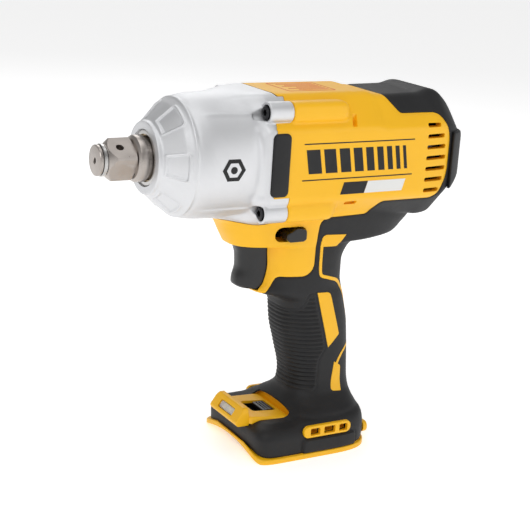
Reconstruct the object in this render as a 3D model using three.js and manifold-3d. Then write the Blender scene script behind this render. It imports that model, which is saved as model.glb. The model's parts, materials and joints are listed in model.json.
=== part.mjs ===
// Cordless impact wrench with a 3/4-inch square drive: casings, hammer mechanism, planetary
// gears, brushless motor, switch gear, foot with battery bay, lamp and fasteners.
// Millimetres. +X out of the nose, +Y the tool's left side, +Z up. The origin is on the
// resting plane of the foot, in the middle of the bounding box.
import * as THREE from "three";
import { mergeVertices } from "three/addons/utils/BufferGeometryUtils.js";
import Module from "manifold-3d";

const wasm = await Module();
wasm.setup();

// Driving dimensions
const AXIS_Z = 194; // height of the drive axis above the resting plane
const NOSE_X = 124; // tip of the square drive
const REAR_X = -124; // back of the rear bumper
const DRIVE_ACROSS_FLATS = 19.05;
const DRIVE_CORNER_RADIUS = 12.6;
const DRIVE_TURN = 57.5; // degrees from +Y to the normal of the upper left flat
const DRIVE_HOLE_X = 112.5;
const CASE_REAR_X = 13.7;
const BODY_FRONT_X = 13.4;
const RUBBER = 2; // thickness of the rubber overmould
const WALL = 4.8; // rubber and plastic together
const GAP = 0.3; // air between pieces that touch
const HAMMER_TRAVEL = 7.5;

// Planetary gears
const GEAR_MODULE = 1.25;
const SUN_TEETH = 12;
const PLANET_TEETH = 15;
const RING_TEETH = SUN_TEETH + 2 * PLANET_TEETH;
const PLANET_ORBIT = (GEAR_MODULE * (SUN_TEETH + PLANET_TEETH)) / 2;
const PLANET_COUNT = 3;
const GEAR_X = [-4.5, 9.5];

// Middles of the windows in the foot's side bezels
const SLOT_X = [-17.4, -28, -38.9];

// Corner screws of the hammer case: offset from the drive axis
const CASE_SCREW_Y = 31.2;
const CASE_SCREW_Z = 30.5;

// Body stations. Barrel: x, top, bottom, half width.
const BARREL = [
  [BODY_FRONT_X, 237, 154, 38.4],
  [-46, 237, 154, 38.4],
  [-55, 234.2, 154, 38.4],
  [-84, 234.4, 153.5, 38],
  [-95, 236, 152, 37],
  [-106, 233.5, 150.5, 34.5],
  [-113, 228, 156, 31],
  [-118.5, 220.5, 163.5, 26.5],
  [-121.5, 210, 172.5, 19],
];
// Neck under the barrel: z, front, rear, half width.
const NECK = [
  [137.4, 34.6, -74, 22.5],
  [139.5, 35.6, -86.5, 23],
  [145, 38.6, -92.6, 24],
  [153.6, 43.2, -99, 26],
  [161, 54, -99, 27.5],
  [166, 54, -99, 27.5],
];
// Handle: z, front, rear, half width.
const HANDLE = [
  [16, 6, -64, 34],
  [24, 2, -63.6, 33],
  [30, -8.9, -60.8, 27],
  [36, -12.9, -59.2, 21.5],
  [44, -13.3, -58.2, 19.4],
  [64, -8.6, -56.6, 19.6],
  [80, -4.1, -54.8, 20],
  [99, -1.5, -50.3, 20.3],
  [103, 6, -49.5, 20.5],
  [107, 16.7, -48.5, 20.6],
  [112, 14.2, -47.2, 21],
  [124, 11.6, -46.8, 21.6],
  [133, 12.3, -50.5, 22],
  [141, 12.5, -62, 22.4],
];
// Foot: z, front, rear, half width.
const FOOT = [
  [0, 22.5, -65, 39.5],
  [3.2, 22.5, -65, 39.5],
  [3.5, 21.8, -64.4, 38.8],
  [14, 22.4, -64.8, 38.4],
  [19, 21.6, -64.6, 37],
  [22.5, 19.4, -63.8, 34.6],
  [25, 14, -62.5, 29],
];
// Hammer case: x, half width, half height, superellipse power, height of the middle.
const CASE = [
  [93.2, 21.9, 21.9, 2, AXIS_Z],
  [90.5, 22.4, 22.4, 2, AXIS_Z],
  [77, 35.2, 35.2, 2, AXIS_Z],
  [75.5, 36.6, 36.6, 2, AXIS_Z],
  [67, 38, 38, 2, AXIS_Z],
  [56, 38.2, 38.3, 2, AXIS_Z],
  [47, 38.4, 39.6, 2.3, AXIS_Z + 0.6],
  [38, 38.3, 41.3, 3, AXIS_Z + 1],
  [30, 38.1, 42, 3.5, AXIS_Z + 1],
  [CASE_REAR_X, 38.1, 42, 3.5, AXIS_Z + 1],
];
// Hollow of the handle: z, front, rear, half width.
const HANDLE_SPACE = [
  [14, -18, -48, 13],
  [40, -20, -53, 13.5],
  [80, -10, -49, 14],
  [107, -6, -43, 14.5],
  [110, 7, -42, 14.5],
  [172, 7, -45, 15],
];
// Border of the rubber, seen from the side, x and z.
const RUBBER_OUTLINE = [
  [-57, 250],
  [-57, 236],
  [-59.5, 229],
  [-63, 222],
  [-91, 221],
  [-99, 218],
  [-104.5, 208],
  [-106.4, 194],
  [-104.5, 180],
  [-99, 170],
  [-92, 166],
  [-57, 166],
  [-52, 159.4],
  [-22, 156],
  [-17.7, 152],
  [-18.3, 122],
  [-16, 118],
  [-11.5, 117],
  [8.8, 118],
  [11, 112],
  [10, 106],
  [4, 102],
  [40, 100],
  [40, 3.4],
  [-140, 3.4],
  [-140, 250],
];

const FINISH = {
  yellow: { color: 0xfcbe28, roughness: 0.45, metalness: 0 },
  rubber: { color: 0x323234, roughness: 0.8, metalness: 0 },
  black: { color: 0x1c1c1e, roughness: 0.5, metalness: 0 },
  aluminium: { color: 0xc8cacd, roughness: 0.45, metalness: 1 },
  steel: { color: 0x9a948c, roughness: 0.35, metalness: 1 },
  darkSteel: { color: 0x5b5a5c, roughness: 0.4, metalness: 1 },
  bronze: { color: 0xb08a4a, roughness: 0.4, metalness: 1 },
  copper: { color: 0xb36b3c, roughness: 0.4, metalness: 1 },
  board: { color: 0x1f5a38, roughness: 0.6, metalness: 0 },
  lens: { color: 0xf2f2ee, roughness: 0.1, metalness: 0 },
};

const group = new THREE.Group();

// ---------------------------------------------------------------- solids and their joins

function signedVolume(points, triangles) {
  let sum = 0;
  const corner = [new THREE.Vector3(), new THREE.Vector3(), new THREE.Vector3()];
  for (let i = 0; i < triangles.length; i += 3) {
    corner.forEach((c, k) => c.fromArray(points, triangles[i + k] * 3));
    sum += corner[0].dot(corner[1].cross(corner[2]));
  }
  return sum / 6;
}

// A closed geometry as a manifold solid, with its faces pointing out.
function solid(geometry) {
  geometry.deleteAttribute("normal");
  geometry.deleteAttribute("uv");
  const merged = mergeVertices(geometry, 1e-4);
  const points = Float32Array.from(merged.attributes.position.array);
  const triangles = [];
  for (let i = 0; i < merged.index.count; i += 3) {
    const [a, b, c] = [0, 1, 2].map((k) => merged.index.getX(i + k));
    if (a !== b && b !== c && c !== a) triangles.push(a, b, c);
  }
  if (signedVolume(points, triangles) < 0) triangles.reverse();
  const triVerts = Uint32Array.from(triangles);
  return new wasm.Manifold(new wasm.Mesh({ numProp: 3, vertProperties: points, triVerts }));
}

function join(...solids) {
  return solids.reduce((all, next) => all.add(next));
}

function cut(base, ...tools) {
  return tools.reduce((left, tool) => left.subtract(tool), base);
}

function toGeometry(body) {
  const mesh = body.getMesh();
  const geometry = new THREE.BufferGeometry();
  geometry.setAttribute("position", new THREE.BufferAttribute(mesh.vertProperties, 3));
  geometry.setIndex(new THREE.BufferAttribute(mesh.triVerts, 1));
  geometry.computeVertexNormals();
  return geometry;
}

function add(name, body, finish) {
  const mesh = new THREE.Mesh(toGeometry(body), new THREE.MeshStandardMaterial(FINISH[finish]));
  mesh.name = name;
  group.add(mesh);
}

// ---------------------------------------------------------------- basic shapes

function shapeOf(points) {
  return new THREE.Shape(points.map(([u, v]) => new THREE.Vector2(u, v)));
}

function extruded(shape, depth, curveSegments = 8) {
  return new THREE.ExtrudeGeometry(shape, { depth, bevelEnabled: false, curveSegments });
}

// An outline in x and z, from y = low to y = high.
function sideways(shape, low, high, curveSegments) {
  const geometry = extruded(shape, high - low, curveSegments);
  geometry.rotateX(Math.PI / 2);
  geometry.translate(0, high, 0);
  return solid(geometry);
}

// An outline in y and z, from x = low to x = high.
function lengthways(shape, low, high, curveSegments) {
  const geometry = extruded(shape, high - low, curveSegments);
  const axes = [new THREE.Vector3(0, 1, 0), new THREE.Vector3(0, 0, 1), new THREE.Vector3(1, 0, 0)];
  geometry.applyMatrix4(new THREE.Matrix4().makeBasis(...axes));
  geometry.translate(low, 0, 0);
  return solid(geometry);
}

// An outline in x and y, from z = low to z = high.
function upwards(shape, low, high, curveSegments) {
  const geometry = extruded(shape, high - low, curveSegments);
  geometry.translate(0, 0, low);
  return solid(geometry);
}

function block(x, y, z) {
  const geometry = new THREE.BoxGeometry(x[1] - x[0], y[1] - y[0], z[1] - z[0]);
  geometry.translate((x[0] + x[1]) / 2, (y[0] + y[1]) / 2, (z[0] + z[1]) / 2);
  return solid(geometry);
}

// A profile of x and radius, turned round an axis along X.
function turned(profile, segments = 20, y = 0, z = AXIS_Z) {
  const points = [...profile, profile[0]].map(([x, r]) => new THREE.Vector2(r, x));
  const geometry = new THREE.LatheGeometry(points, segments);
  const axes = [new THREE.Vector3(0, 1, 0), new THREE.Vector3(1, 0, 0), new THREE.Vector3(0, 0, -1)];
  geometry.applyMatrix4(new THREE.Matrix4().makeBasis(...axes));
  geometry.translate(0, y, z);
  return solid(geometry);
}

function rod(x, radius, segments = 16, y = 0, z = AXIS_Z) {
  const profile = [[x[0], 0], [x[0], radius], [x[1], radius], [x[1], 0]];
  return turned(profile, segments, y, z);
}

function ring(x, inner, outer, segments = 20) {
  return turned([[x[0], inner], [x[0], outer], [x[1], outer], [x[1], inner]], segments);
}

// A round bar along Y.
function crossRod(x, z, y, radius, segments = 16) {
  const geometry = new THREE.CylinderGeometry(radius, radius, y[1] - y[0], segments);
  geometry.translate(x, (y[0] + y[1]) / 2, z);
  return solid(geometry);
}

function roundedRect(u, v, radius) {
  const shape = new THREE.Shape();
  shape.moveTo(u[0] + radius, v[0]);
  shape.lineTo(u[1] - radius, v[0]);
  shape.absarc(u[1] - radius, v[0] + radius, radius, -Math.PI / 2, 0);
  shape.lineTo(u[1], v[1] - radius);
  shape.absarc(u[1] - radius, v[1] - radius, radius, 0, Math.PI / 2);
  shape.lineTo(u[0] + radius, v[1]);
  shape.absarc(u[0] + radius, v[1] - radius, radius, Math.PI / 2, Math.PI);
  shape.lineTo(u[0], v[0] + radius);
  shape.absarc(u[0] + radius, v[0] + radius, radius, Math.PI, 1.5 * Math.PI);
  return shape;
}

// Rings of points with the same count, skinned and closed with a fan at each end.
function loft(rings) {
  const count = rings[0].length;
  const points = rings.flat().flatMap((p) => p.toArray());
  const index = [];
  for (let r = 0; r + 1 < rings.length; r += 1) {
    for (let i = 0; i < count; i += 1) {
      const [a, b] = [r * count + i, r * count + ((i + 1) % count)];
      index.push(a, b, a + count, b, b + count, a + count);
    }
  }
  for (const [start, flip] of [[0, true], [(rings.length - 1) * count, false]]) {
    const middle = new THREE.Vector3();
    const ringPoints = rings[start / count];
    ringPoints.forEach((p) => middle.addScaledVector(p, 1 / count));
    const centre = points.length / 3;
    points.push(...middle.toArray());
    for (let i = 0; i < count; i += 1) {
      const [a, b] = [start + i, start + ((i + 1) % count)];
      index.push(...(flip ? [centre, b, a] : [centre, a, b]));
    }
  }
  const geometry = new THREE.BufferGeometry();
  geometry.setAttribute("position", new THREE.Float32BufferAttribute(points, 3));
  geometry.setIndex(index);
  return solid(geometry);
}

// A superellipse: round at power 2, boxy at higher powers.
function superRing(halfU, halfV, power, count, place) {
  const bend = (t) => Math.sign(t) * Math.abs(t) ** (2 / power);
  return Array.from({ length: count }, (_, i) => {
    const angle = (2 * Math.PI * (i + 0.5)) / count;
    return place(halfU * bend(Math.cos(angle)), halfV * bend(Math.sin(angle)));
  });
}

// Moves a closed outline inwards (positive) or outwards (negative).
function offset(points, amount) {
  const turn = points.reduce((sum, [x, z], i) => {
    const [nx, nz] = points[(i + 1) % points.length];
    return sum + x * nz - nx * z;
  }, 0);
  return points.map((point, i) => {
    const [before, after] = [points.at(i - 1), points[(i + 1) % points.length]];
    const here = new THREE.Vector2(...point);
    const along = [here.clone().sub(new THREE.Vector2(...before)).normalize()];
    along.push(new THREE.Vector2(...after).sub(here).normalize());
    const inward = along.map((d) => new THREE.Vector2(-d.y, d.x).multiplyScalar(Math.sign(turn)));
    const mitre = inward[0].clone().add(inward[1]).normalize();
    return here.addScaledVector(mitre, amount / mitre.dot(inward[0])).toArray();
  });
}

// ---------------------------------------------------------------- outer form of the body

function barrelForm(inset, sides = 20) {
  const rear = BARREL.at(-1)[0] + inset;
  return loft(
    BARREL.map(([station, top, bottom, half]) => {
      const x = station === BARREL.at(-1)[0] ? rear : Math.max(station, rear + 1);
      return superRing(half - inset, (top - bottom) / 2 - inset, 3.5, sides, (y, z) =>
        new THREE.Vector3(x, y, z + (top + bottom) / 2));
    }),
  );
}

// The lowest ring rises by lift.
function columnForm(stations, inset, lift, sides = 16) {
  const low = stations[0][0];
  return loft(
    stations.map(([z, front, rear, half]) =>
      superRing((front - rear) / 2 - inset, half - inset, 2.7, sides, (x, y) =>
        new THREE.Vector3(x + (front + rear) / 2, y, z === low ? z + lift : z))),
  );
}

function footForm(inset, sides = 20) {
  return loft(
    FOOT.map(([z, front, rear, half], i) =>
      superRing((front - rear) / 2 - inset, half - inset, 5, sides, (x, y) =>
        new THREE.Vector3(x + (front + rear) / 2, y, i + 1 === FOOT.length ? z - inset : z))),
  );
}

function bodyForm() {
  const neck = columnForm(NECK, 0, 0);
  return join(barrelForm(0), neck, columnForm(HANDLE, 0, 0), footForm(0));
}

// The form under the rubber, with fewer facets because it is never seen.
function coreForm(inset) {
  const neck = columnForm(NECK, inset, inset, 12);
  const handle = columnForm(HANDLE, inset, 0, 12);
  return join(barrelForm(inset, 14), neck, handle, footForm(inset, 12));
}

// The hammer case is round at the nose and boxy at the rear.
function caseForm(grow) {
  const stations = CASE.map(([x, half, height, power, middle]) =>
    superRing(half + grow, height + grow, power, 24, (y, z) => new THREE.Vector3(x, y, z + middle)));
  return loft(stations);
}

// ---------------------------------------------------------------- casings

function caseScrewPlaces() {
  return [[1, 1], [-1, 1], [1, -1], [-1, -1]].map(([side, up]) =>
    [side * CASE_SCREW_Y, AXIS_Z + up * CASE_SCREW_Z]);
}

// Housing screws: x, z, half width of the housing there.
const HOUSING_SCREWS = [
  [-30, 229, 24],
  [-76, 227, 24],
  [-70, 150, 15],
  [-38, 106, 14],
  [-36, 52, 15],
  [-54, 15.5, 30],
];
const SCREW_BOSS_RADIUS = 4.2;
const SCREW_HOLE_RADIUS = 1.9;
const SCREW_SHANK_RADIUS = 1.5;
const SCREW_HEAD_RADIUS = 3;

function bayOpening() {
  const between = block([-50, 17], [-24, 24], [-1, 12.6]);
  const aboveRails = block([-50, 17], [-28.5, 28.5], [5.5, 12.6]);
  const arch = new THREE.Shape();
  arch.moveTo(-33, -1);
  arch.lineTo(33, -1);
  arch.quadraticCurveTo(0, 12, -33, -1);
  return join(between, aboveRails, lengthways(arch, 10, 30, 8));
}

function triggerPocket() {
  return block([0, 45], [-10.6, 10.6], [107.2, 136.7]);
}

function leverTunnel() {
  return sideways(roundedRect([-8.8, 12.2], [141.2, 151.2], 4.9), -40, 40, 3);
}

function ventSlots() {
  const rearEnds = [-96, -99.7, -101.3, -102.2, -102.5, -100.8, -98.1];
  return rearEnds.flatMap((rear, i) => {
    const z = 214 - i * 6.97;
    return [[-45, -20], [20, 45]].map((y) => block([rear, -85.5], y, [z - 1.3, z + 1.3]));
  });
}

function slotWindows() {
  return SLOT_X.flatMap((x) =>
    [[-45, -28], [28, 45]].map((y) => block([x - 3.4, x + 3.4], y, [15.2, 20])));
}

function bezelOutline(margin) {
  return roundedRect([-44.2 - margin, -8.7 + margin], [13.6 - margin, 21.6 + margin], 3.9);
}

function footPanelOutline(margin) {
  return shapeOf([
    [-8 - margin, -22 - margin],
    [20.6, -19 - margin],
    [20.6, 19 + margin],
    [-8 - margin, 22 + margin],
  ]);
}

function lampPodOutline(margin) {
  const points = [[14, 12], [24, 12], [30.4, 20], [23.4, 31], [20.9, 31], [20.9, 20], [14, 18]];
  return shapeOf(offset(points, -margin));
}

// What the housing and the rubber both give room to.
function outerCuts() {
  return [
    bayOpening(),
    triggerPocket(),
    leverTunnel(),
    caseForm(GAP),
    ...ventSlots(),
    ...slotWindows(),
    upwards(footPanelOutline(GAP), 20.2, 40),
    sideways(lampPodOutline(GAP), -17.3 - GAP, 17.3 + GAP),
    ...[[36.7, 45], [-45, -36.7]].map((y) => sideways(bezelOutline(GAP), y[0], y[1], 4)),
    rearBezel(GAP),
  ];
}

function innerSpace() {
  const bearingRoom = rod([-20, 30], 33.4, 24);
  const footRoom = block([-50, 16], [-30, 30], [12, 19.6]);
  const handleRoom = columnForm(HANDLE_SPACE, 0, 0, 8);
  return join(barrelForm(WALL, 12), bearingRoom, footRoom, handleRoom);
}

function housingBosses() {
  const core = coreForm(RUBBER + GAP);
  const caseBosses = caseScrewPlaces().map(([y, z]) => rod([-14, BODY_FRONT_X], 5.6, 12, y, z));
  const sideBosses = HOUSING_SCREWS.map(([x, z, half]) =>
    crossRod(x, z, [-half - 12, half + 12], SCREW_BOSS_RADIUS, 12));
  const bearingSeat = ring([-119, -98], 9.5, 12.6, 16);
  const inside = join(...sideBosses, bearingSeat).intersect(core);
  return join(inside, ...caseBosses);
}

function housingHoles() {
  const caseHoles = caseScrewPlaces().map(([y, z]) => rod([-8, 40], 2.6, 8, y, z));
  const sideHoles = HOUSING_SCREWS.map(([x, z, half]) =>
    join(
      crossRod(x, z, [-45, half - 3], SCREW_HOLE_RADIUS, 8),
      crossRod(x, z, [-45, -half + 3], SCREW_HEAD_RADIUS + GAP, 12)));
  return [...caseHoles, ...sideHoles];
}

function makeHousings() {
  const zone = sideways(shapeOf(RUBBER_OUTLINE), -50, 50);
  const recess = zone.subtract(coreForm(RUBBER + GAP));
  const shell = cut(bodyForm(), recess, innerSpace()).add(housingBosses());
  const whole = cut(shell, ...outerCuts(), ...housingHoles(), rod([-20, 30], 33.4, 24));
  const half = (y) => block([-140, 140], y, [-5, 260]);
  add("left_housing", whole.intersect(half([GAP / 2, 60])), "yellow");
  add("right_housing", whole.intersect(half([-60, -GAP / 2])), "yellow");
}

function makeOvermoulds() {
  const zone = sideways(shapeOf(offset(RUBBER_OUTLINE, GAP)), -50, 50);
  const skin = cut(bodyForm(), coreForm(RUBBER)).intersect(zone);
  const heads = HOUSING_SCREWS.map(([x, z]) =>
    crossRod(x, z, [-45, 0], SCREW_HEAD_RADIUS + GAP, 12));
  const whole = cut(skin, ...outerCuts(), ...heads);
  const half = (y) => block([-140, 140], y, [-5, 260]);
  add("left_overmould", whole.intersect(half([GAP / 2, 60])), "rubber");
  add("right_overmould", whole.intersect(half([-60, -GAP / 2])), "rubber");
}

function makeRearBumper() {
  const outside = barrelForm(-2.5).intersect(block([REAR_X, -107.5], [-60, 60], [171.5, 208.5]));
  add("rear_bumper", outside.subtract(barrelForm(-GAP)), "rubber");
}

function makeHammerCase() {
  const inside = turned(
    [[5, 0], [5, 33.4], [64, 33.4], [72, 27.4], [72, 16.7], [100, 16.7], [100, 0]],
    24,
  );
  const bosses = caseScrewPlaces().map(([y, z]) => rod([CASE_REAR_X, 26], 6.2, 16, y, z));
  const holes = caseScrewPlaces().map(([y, z]) => rod([0, 30], 2.6, 8, y, z));
  const headRooms = caseScrewPlaces().map(([y, z]) => rod([26, 60], 4.8, 12, y, z));
  const padSeats = [[36.1, 50], [-50, -36.1]].map((y) =>
    sideways(roundedRect([15, 27.3], [174.2, 213.3], 3), y[0], y[1], 3));
  const form = join(caseForm(0), ...bosses);
  add("hammer_case", cut(form, inside, ...holes, ...headRooms, ...padSeats), "aluminium");
}

function makeSidePads() {
  const outline = roundedRect([15.3, 27], [174.5, 213], 2.7);
  add("left_side_pad", sideways(outline, 36.4, 39.4, 3), "rubber");
  add("right_side_pad", sideways(outline, -39.4, -36.4, 3), "rubber");
}

function makeCaseScrews() {
  caseScrewPlaces().forEach(([y, z], i) => {
    const head = cut(rod([26.3, 30.4], 4, 12, y, z), rod([28.2, 31], 1.9, 6, y, z));
    add(`case_screw_${i + 1}`, head.add(rod([-6, 27], 2.2, 8, y, z)), "black");
  });
}

function makeHousingScrews() {
  HOUSING_SCREWS.forEach(([x, z, half], i) => {
    const head = crossRod(x, z, [-half, -half + 2.6], SCREW_HEAD_RADIUS, 12);
    const socket = crossRod(x, z, [-half - 1, -half + 1.4], 1.3, 6);
    const shank = crossRod(x, z, [-half + 2, half - 4], SCREW_SHANK_RADIUS, 8);
    add(`housing_screw_${i + 1}`, head.subtract(socket).add(shank), "black");
  });
}

// ---------------------------------------------------------------- nose and hammer mechanism

function makeNoseBushing() {
  add("nose_bushing", ring([72.4, 91], 13.35, 16.4), "bronze");
  add("nose_seal", ring([91.3, 92.6], 14.3, 16.4), "rubber");
}

function sector(inner, outer, middle, width, steps = 6) {
  const angles = Array.from({ length: steps + 1 }, (_, i) => middle + width * (i / steps - 0.5));
  const at = (radius, degrees) => {
    const angle = THREE.MathUtils.degToRad(degrees);
    return [radius * Math.cos(angle), AXIS_Z + radius * Math.sin(angle)];
  };
  const outside = angles.map((a) => at(outer, a));
  const within = angles.map((a) => at(inner, a)).reverse();
  return shapeOf([...outside, ...within]);
}

function driveSquare() {
  const half = DRIVE_ACROSS_FLATS / 2;
  const prism = new THREE.BoxGeometry(24, 2 * half, 2 * half);
  prism.rotateX(THREE.MathUtils.degToRad(DRIVE_TURN));
  prism.translate(106.5, 0, AXIS_Z);
  const corners = turned(
    [[94, 0], [94, DRIVE_CORNER_RADIUS], [115, DRIVE_CORNER_RADIUS], [118.4, 9], [118.4, 0]],
    24,
  );
  return solid(prism).intersect(corners);
}

function driveHole() {
  const geometry = new THREE.CylinderGeometry(2.3, 2.3, 30, 16);
  geometry.rotateX(THREE.MathUtils.degToRad(DRIVE_TURN));
  geometry.translate(DRIVE_HOLE_X, 0, AXIS_Z);
  return solid(geometry);
}

function makeAnvil() {
  const spindle = turned(
    [
      [62, 0],
      [62, 16],
      [70, 16],
      [70, 13],
      [94.4, 13],
      [94.4, 14],
      [100.2, 14],
      [101.4, 12],
      [101.4, 7.6],
      [121.7, 7.6],
      [121.7, 9.2],
      [123.6, 9.2],
      [NOSE_X, 8.8],
      [NOSE_X, 0],
    ],
    24,
  );
  const neck = rod([116, 118.6], 9.2, 24);
  const ears = [0, 180].map((a) => lengthways(sector(15, 26, a, 50), 62, 70));
  const centre = rod([121, NOSE_X + 1], 1.2, 10);
  const pilot = rod([60, 69.6], 5.9, 16);
  const form = join(spindle, driveSquare(), neck, ...ears);
  add("anvil", cut(form, driveHole(), centre, pilot), "steel");
}

function makeFrictionRing() {
  const gapCut = block([118, 122], [-20, 0], [AXIS_Z - 1.2, AXIS_Z + 1.2]);
  add("friction_ring", cut(ring([119, 121.3], 7.95, 9.6), gapCut), "bronze");
}

const BALL_X = 46;
const BALL_RADIUS = 3;
const CAM_RADIUS = 12;

function makeHammer() {
  const form = turned(
    [
      [26, CAM_RADIUS + 0.35],
      [26, 15],
      [49, 15],
      [49, 27],
      [26, 27],
      [26, 30.6],
      [27, 31.2],
      [60, 31.2],
      [60, CAM_RADIUS + 0.35],
    ],
    24,
  );
  const lugs = [90, 270].map((a) => lengthways(sector(17, 27, a, 44), 59, 68.6));
  const grooves = [-1, 1].map((side) => {
    const span = [BALL_X - BALL_RADIUS - 1, BALL_X + HAMMER_TRAVEL + BALL_RADIUS + 1];
    return rod(span, BALL_RADIUS + 0.4, 12, side * CAM_RADIUS);
  });
  add("hammer", cut(join(form, ...lugs), ...grooves), "darkSteel");
}

function makeCamBalls() {
  [1, -1].forEach((side, i) => {
    const ball = new THREE.SphereGeometry(BALL_RADIUS, 10, 8);
    ball.translate(BALL_X, side * CAM_RADIUS, AXIS_Z);
    add(`cam_ball_${i + 1}`, solid(ball), "steel");
  });
}

class Helix extends THREE.Curve {
  constructor(start, end, radius, turns) {
    super();
    Object.assign(this, { start, end, radius, turns });
  }

  getPoint(t, target = new THREE.Vector3()) {
    const angle = 2 * Math.PI * this.turns * t;
    const x = this.start + (this.end - this.start) * t;
    return target.set(x, this.radius * Math.cos(angle), AXIS_Z + this.radius * Math.sin(angle));
  }
}

function makeHammerSpring() {
  const wire = new THREE.Shape();
  wire.absarc(0, 0, 1.9, 0, 2 * Math.PI);
  const path = new Helix(20.6, 46.6, 21, 3.4);
  const options = { steps: 38, curveSegments: 3, bevelEnabled: false, extrudePath: path };
  add("hammer_spring", solid(new THREE.ExtrudeGeometry(wire, options)), "darkSteel");
  add("spring_washer", ring([16.3, 18.2], 14.2, 26), "steel");
}

function makeCarrier() {
  const shaft = turned(
    [
      [-13.6, 9.3],
      [-13.6, 11],
      [-8.2, 11],
      [-8.2, 24],
      [-5, 24],
      [-5, 9.3],
    ],
    24,
  );
  const front = turned(
    [[10, 0], [10, 24], [16, 24], [16, CAM_RADIUS], [60, CAM_RADIUS], [60, 5.5], [69, 5.5], [69, 0]],
    24,
  );
  const webs = [60, 180, 300].map((degrees) => {
    const angle = THREE.MathUtils.degToRad(degrees);
    return rod([-6, 11], 3.6, 12, 20 * Math.cos(angle), AXIS_Z + 20 * Math.sin(angle));
  });
  const pinHoles = planetPlaces().map(([y, z]) => rod([-20, 14.2], 3.3, 16, y, z));
  const pockets = [1, -1].map((side) =>
    rod([BALL_X - 3.4, BALL_X + 3.4], BALL_RADIUS + 0.4, 12, side * CAM_RADIUS));
  add("cam_carrier", cut(join(shaft, front, ...webs), ...pinHoles, ...pockets), "darkSteel");
  const bearing = ring([-13.6, -8.6], 11.4, 17);
  add("carrier_bearing", bearing, "steel");
}

// ---------------------------------------------------------------- gears

function planetPlaces() {
  return Array.from({ length: PLANET_COUNT }, (_, i) => {
    const angle = (2 * Math.PI * i) / PLANET_COUNT;
    return [PLANET_ORBIT * Math.cos(angle), AXIS_Z + PLANET_ORBIT * Math.sin(angle), angle];
  });
}

// A toothed outline round a centre. First angle is the middle of a tooth.
function toothedPoints(teeth, radii, halfAngles, first, centre) {
  const pitch = (2 * Math.PI) / teeth;
  return Array.from({ length: teeth }, (_, i) => i * pitch + first).flatMap((middle) => {
    const steps = radii.map((radius, k) => [radius, halfAngles[k]]);
    const rising = steps.map(([radius, half]) => [radius, middle - half]);
    const falling = steps.map(([radius, half]) => [radius, middle + half]).reverse();
    return [...rising, ...falling].map(([radius, angle]) =>
      [centre[0] + radius * Math.cos(angle), centre[1] + radius * Math.sin(angle)]);
  });
}

// Half the angle of an involute tooth at each radius, with a little play in the mesh.
function toothHalfAngles(teeth, radii, grow) {
  const pressure = THREE.MathUtils.degToRad(25);
  const pitchRadius = (GEAR_MODULE * teeth) / 2;
  const base = pitchRadius * Math.cos(pressure);
  const involute = (a) => Math.tan(a) - a;
  const play = 0.14 / pitchRadius;
  return radii.map((radius) => {
    const angle = radius > base ? Math.acos(base / radius) : 0;
    return Math.PI / (2 * teeth) + grow * play + involute(pressure) - involute(angle);
  });
}

function externalGear(teeth, first, centre) {
  const pitchRadius = (GEAR_MODULE * teeth) / 2;
  const radii = [-1.15, -0.1, 0.9].map((k) => pitchRadius + k * GEAR_MODULE);
  return toothedPoints(teeth, radii, toothHalfAngles(teeth, radii, -1), first, centre);
}

// The ring's spaces have the form of teeth with play added.
function internalGear(teeth, first, centre) {
  const pitchRadius = (GEAR_MODULE * teeth) / 2;
  const radii = [-0.85, 0.1, 1.15].map((k) => pitchRadius + k * GEAR_MODULE);
  return toothedPoints(teeth, radii, toothHalfAngles(teeth, radii, 1), first, centre);
}

function makeGears() {
  const centre = [0, AXIS_Z];
  const outline = new THREE.Shape();
  outline.absarc(...centre, 32, 0, 2 * Math.PI);
  outline.holes.push(new THREE.Path(
    internalGear(RING_TEETH, 0, centre).map(([y, z]) => new THREE.Vector2(y, z))));
  add("ring_gear", lengthways(outline, ...GEAR_X, 16), "darkSteel");
  planetPlaces().forEach(([y, z, angle], i) => {
    const gear = lengthways(shapeOf(externalGear(PLANET_TEETH, angle, [y, z])), ...GEAR_X);
    add(`planet_gear_${i + 1}`, gear.subtract(rod([-10, 20], 3.35, 16, y, z)), "steel");
    add(`planet_pin_${i + 1}`, rod([-8, 13.8], 3, 16, y, z), "steel");
  });
}

// ---------------------------------------------------------------- motor

function makeRotor() {
  const pinion = lengthways(shapeOf(externalGear(SUN_TEETH, 0, [0, AXIS_Z])), -6.8, 9.2);
  const shaft = rod([-104, -6], 4, 20);
  add("rotor_shaft", pinion.add(shaft), "steel");
  add("rotor_stack", ring([-75, -33], 4.3, 15.6), "darkSteel");
}

function makeFan() {
  const hub = ring([-92, -80], 4.3, 9, 20);
  const disc = ring([-81.5, -80], 8, 26);
  const blades = Array.from({ length: 9 }, (_, i) => {
    const blade = new THREE.BoxGeometry(10, 16.5, 1.4);
    blade.translate(-86, 16.8, 0);
    blade.rotateX((2 * Math.PI * i) / 9);
    blade.translate(0, 0, AXIS_Z);
    return solid(blade);
  });
  add("fan", join(hub, disc, ...blades), "black");
}

function makeStator() {
  const slotCount = 6;
  const yoke = ring([-76, -32], 16.4, 28);
  const slots = Array.from({ length: slotCount }, (_, i) => {
    const slot = new THREE.BoxGeometry(50, 7.5, 5);
    slot.translate(-54, 20, 0);
    slot.rotateX((2 * Math.PI * i) / slotCount);
    slot.translate(0, 0, AXIS_Z);
    return solid(slot);
  });
  add("stator", cut(yoke, ...slots), "copper");
}

function makeMotorSupports() {
  const profile = [
    [-9, 33],
    [-9, 17.3],
    [-14, 17.3],
    [-14, 4.8],
    [-17.2, 4.8],
    [-17.2, 9.3],
    [-22, 9.3],
    [-22, 12.5],
    [-17, 12.5],
    [-17, 33],
  ];
  add("bearing_plate", turned(profile), "aluminium");
  add("front_motor_bearing", ring([-22, -17.6], 4.3, 9, 20), "steel");
  add("rear_motor_bearing", ring([-104, -99], 4.3, 9.1, 20), "steel");
}

// ---------------------------------------------------------------- switch gear

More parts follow.
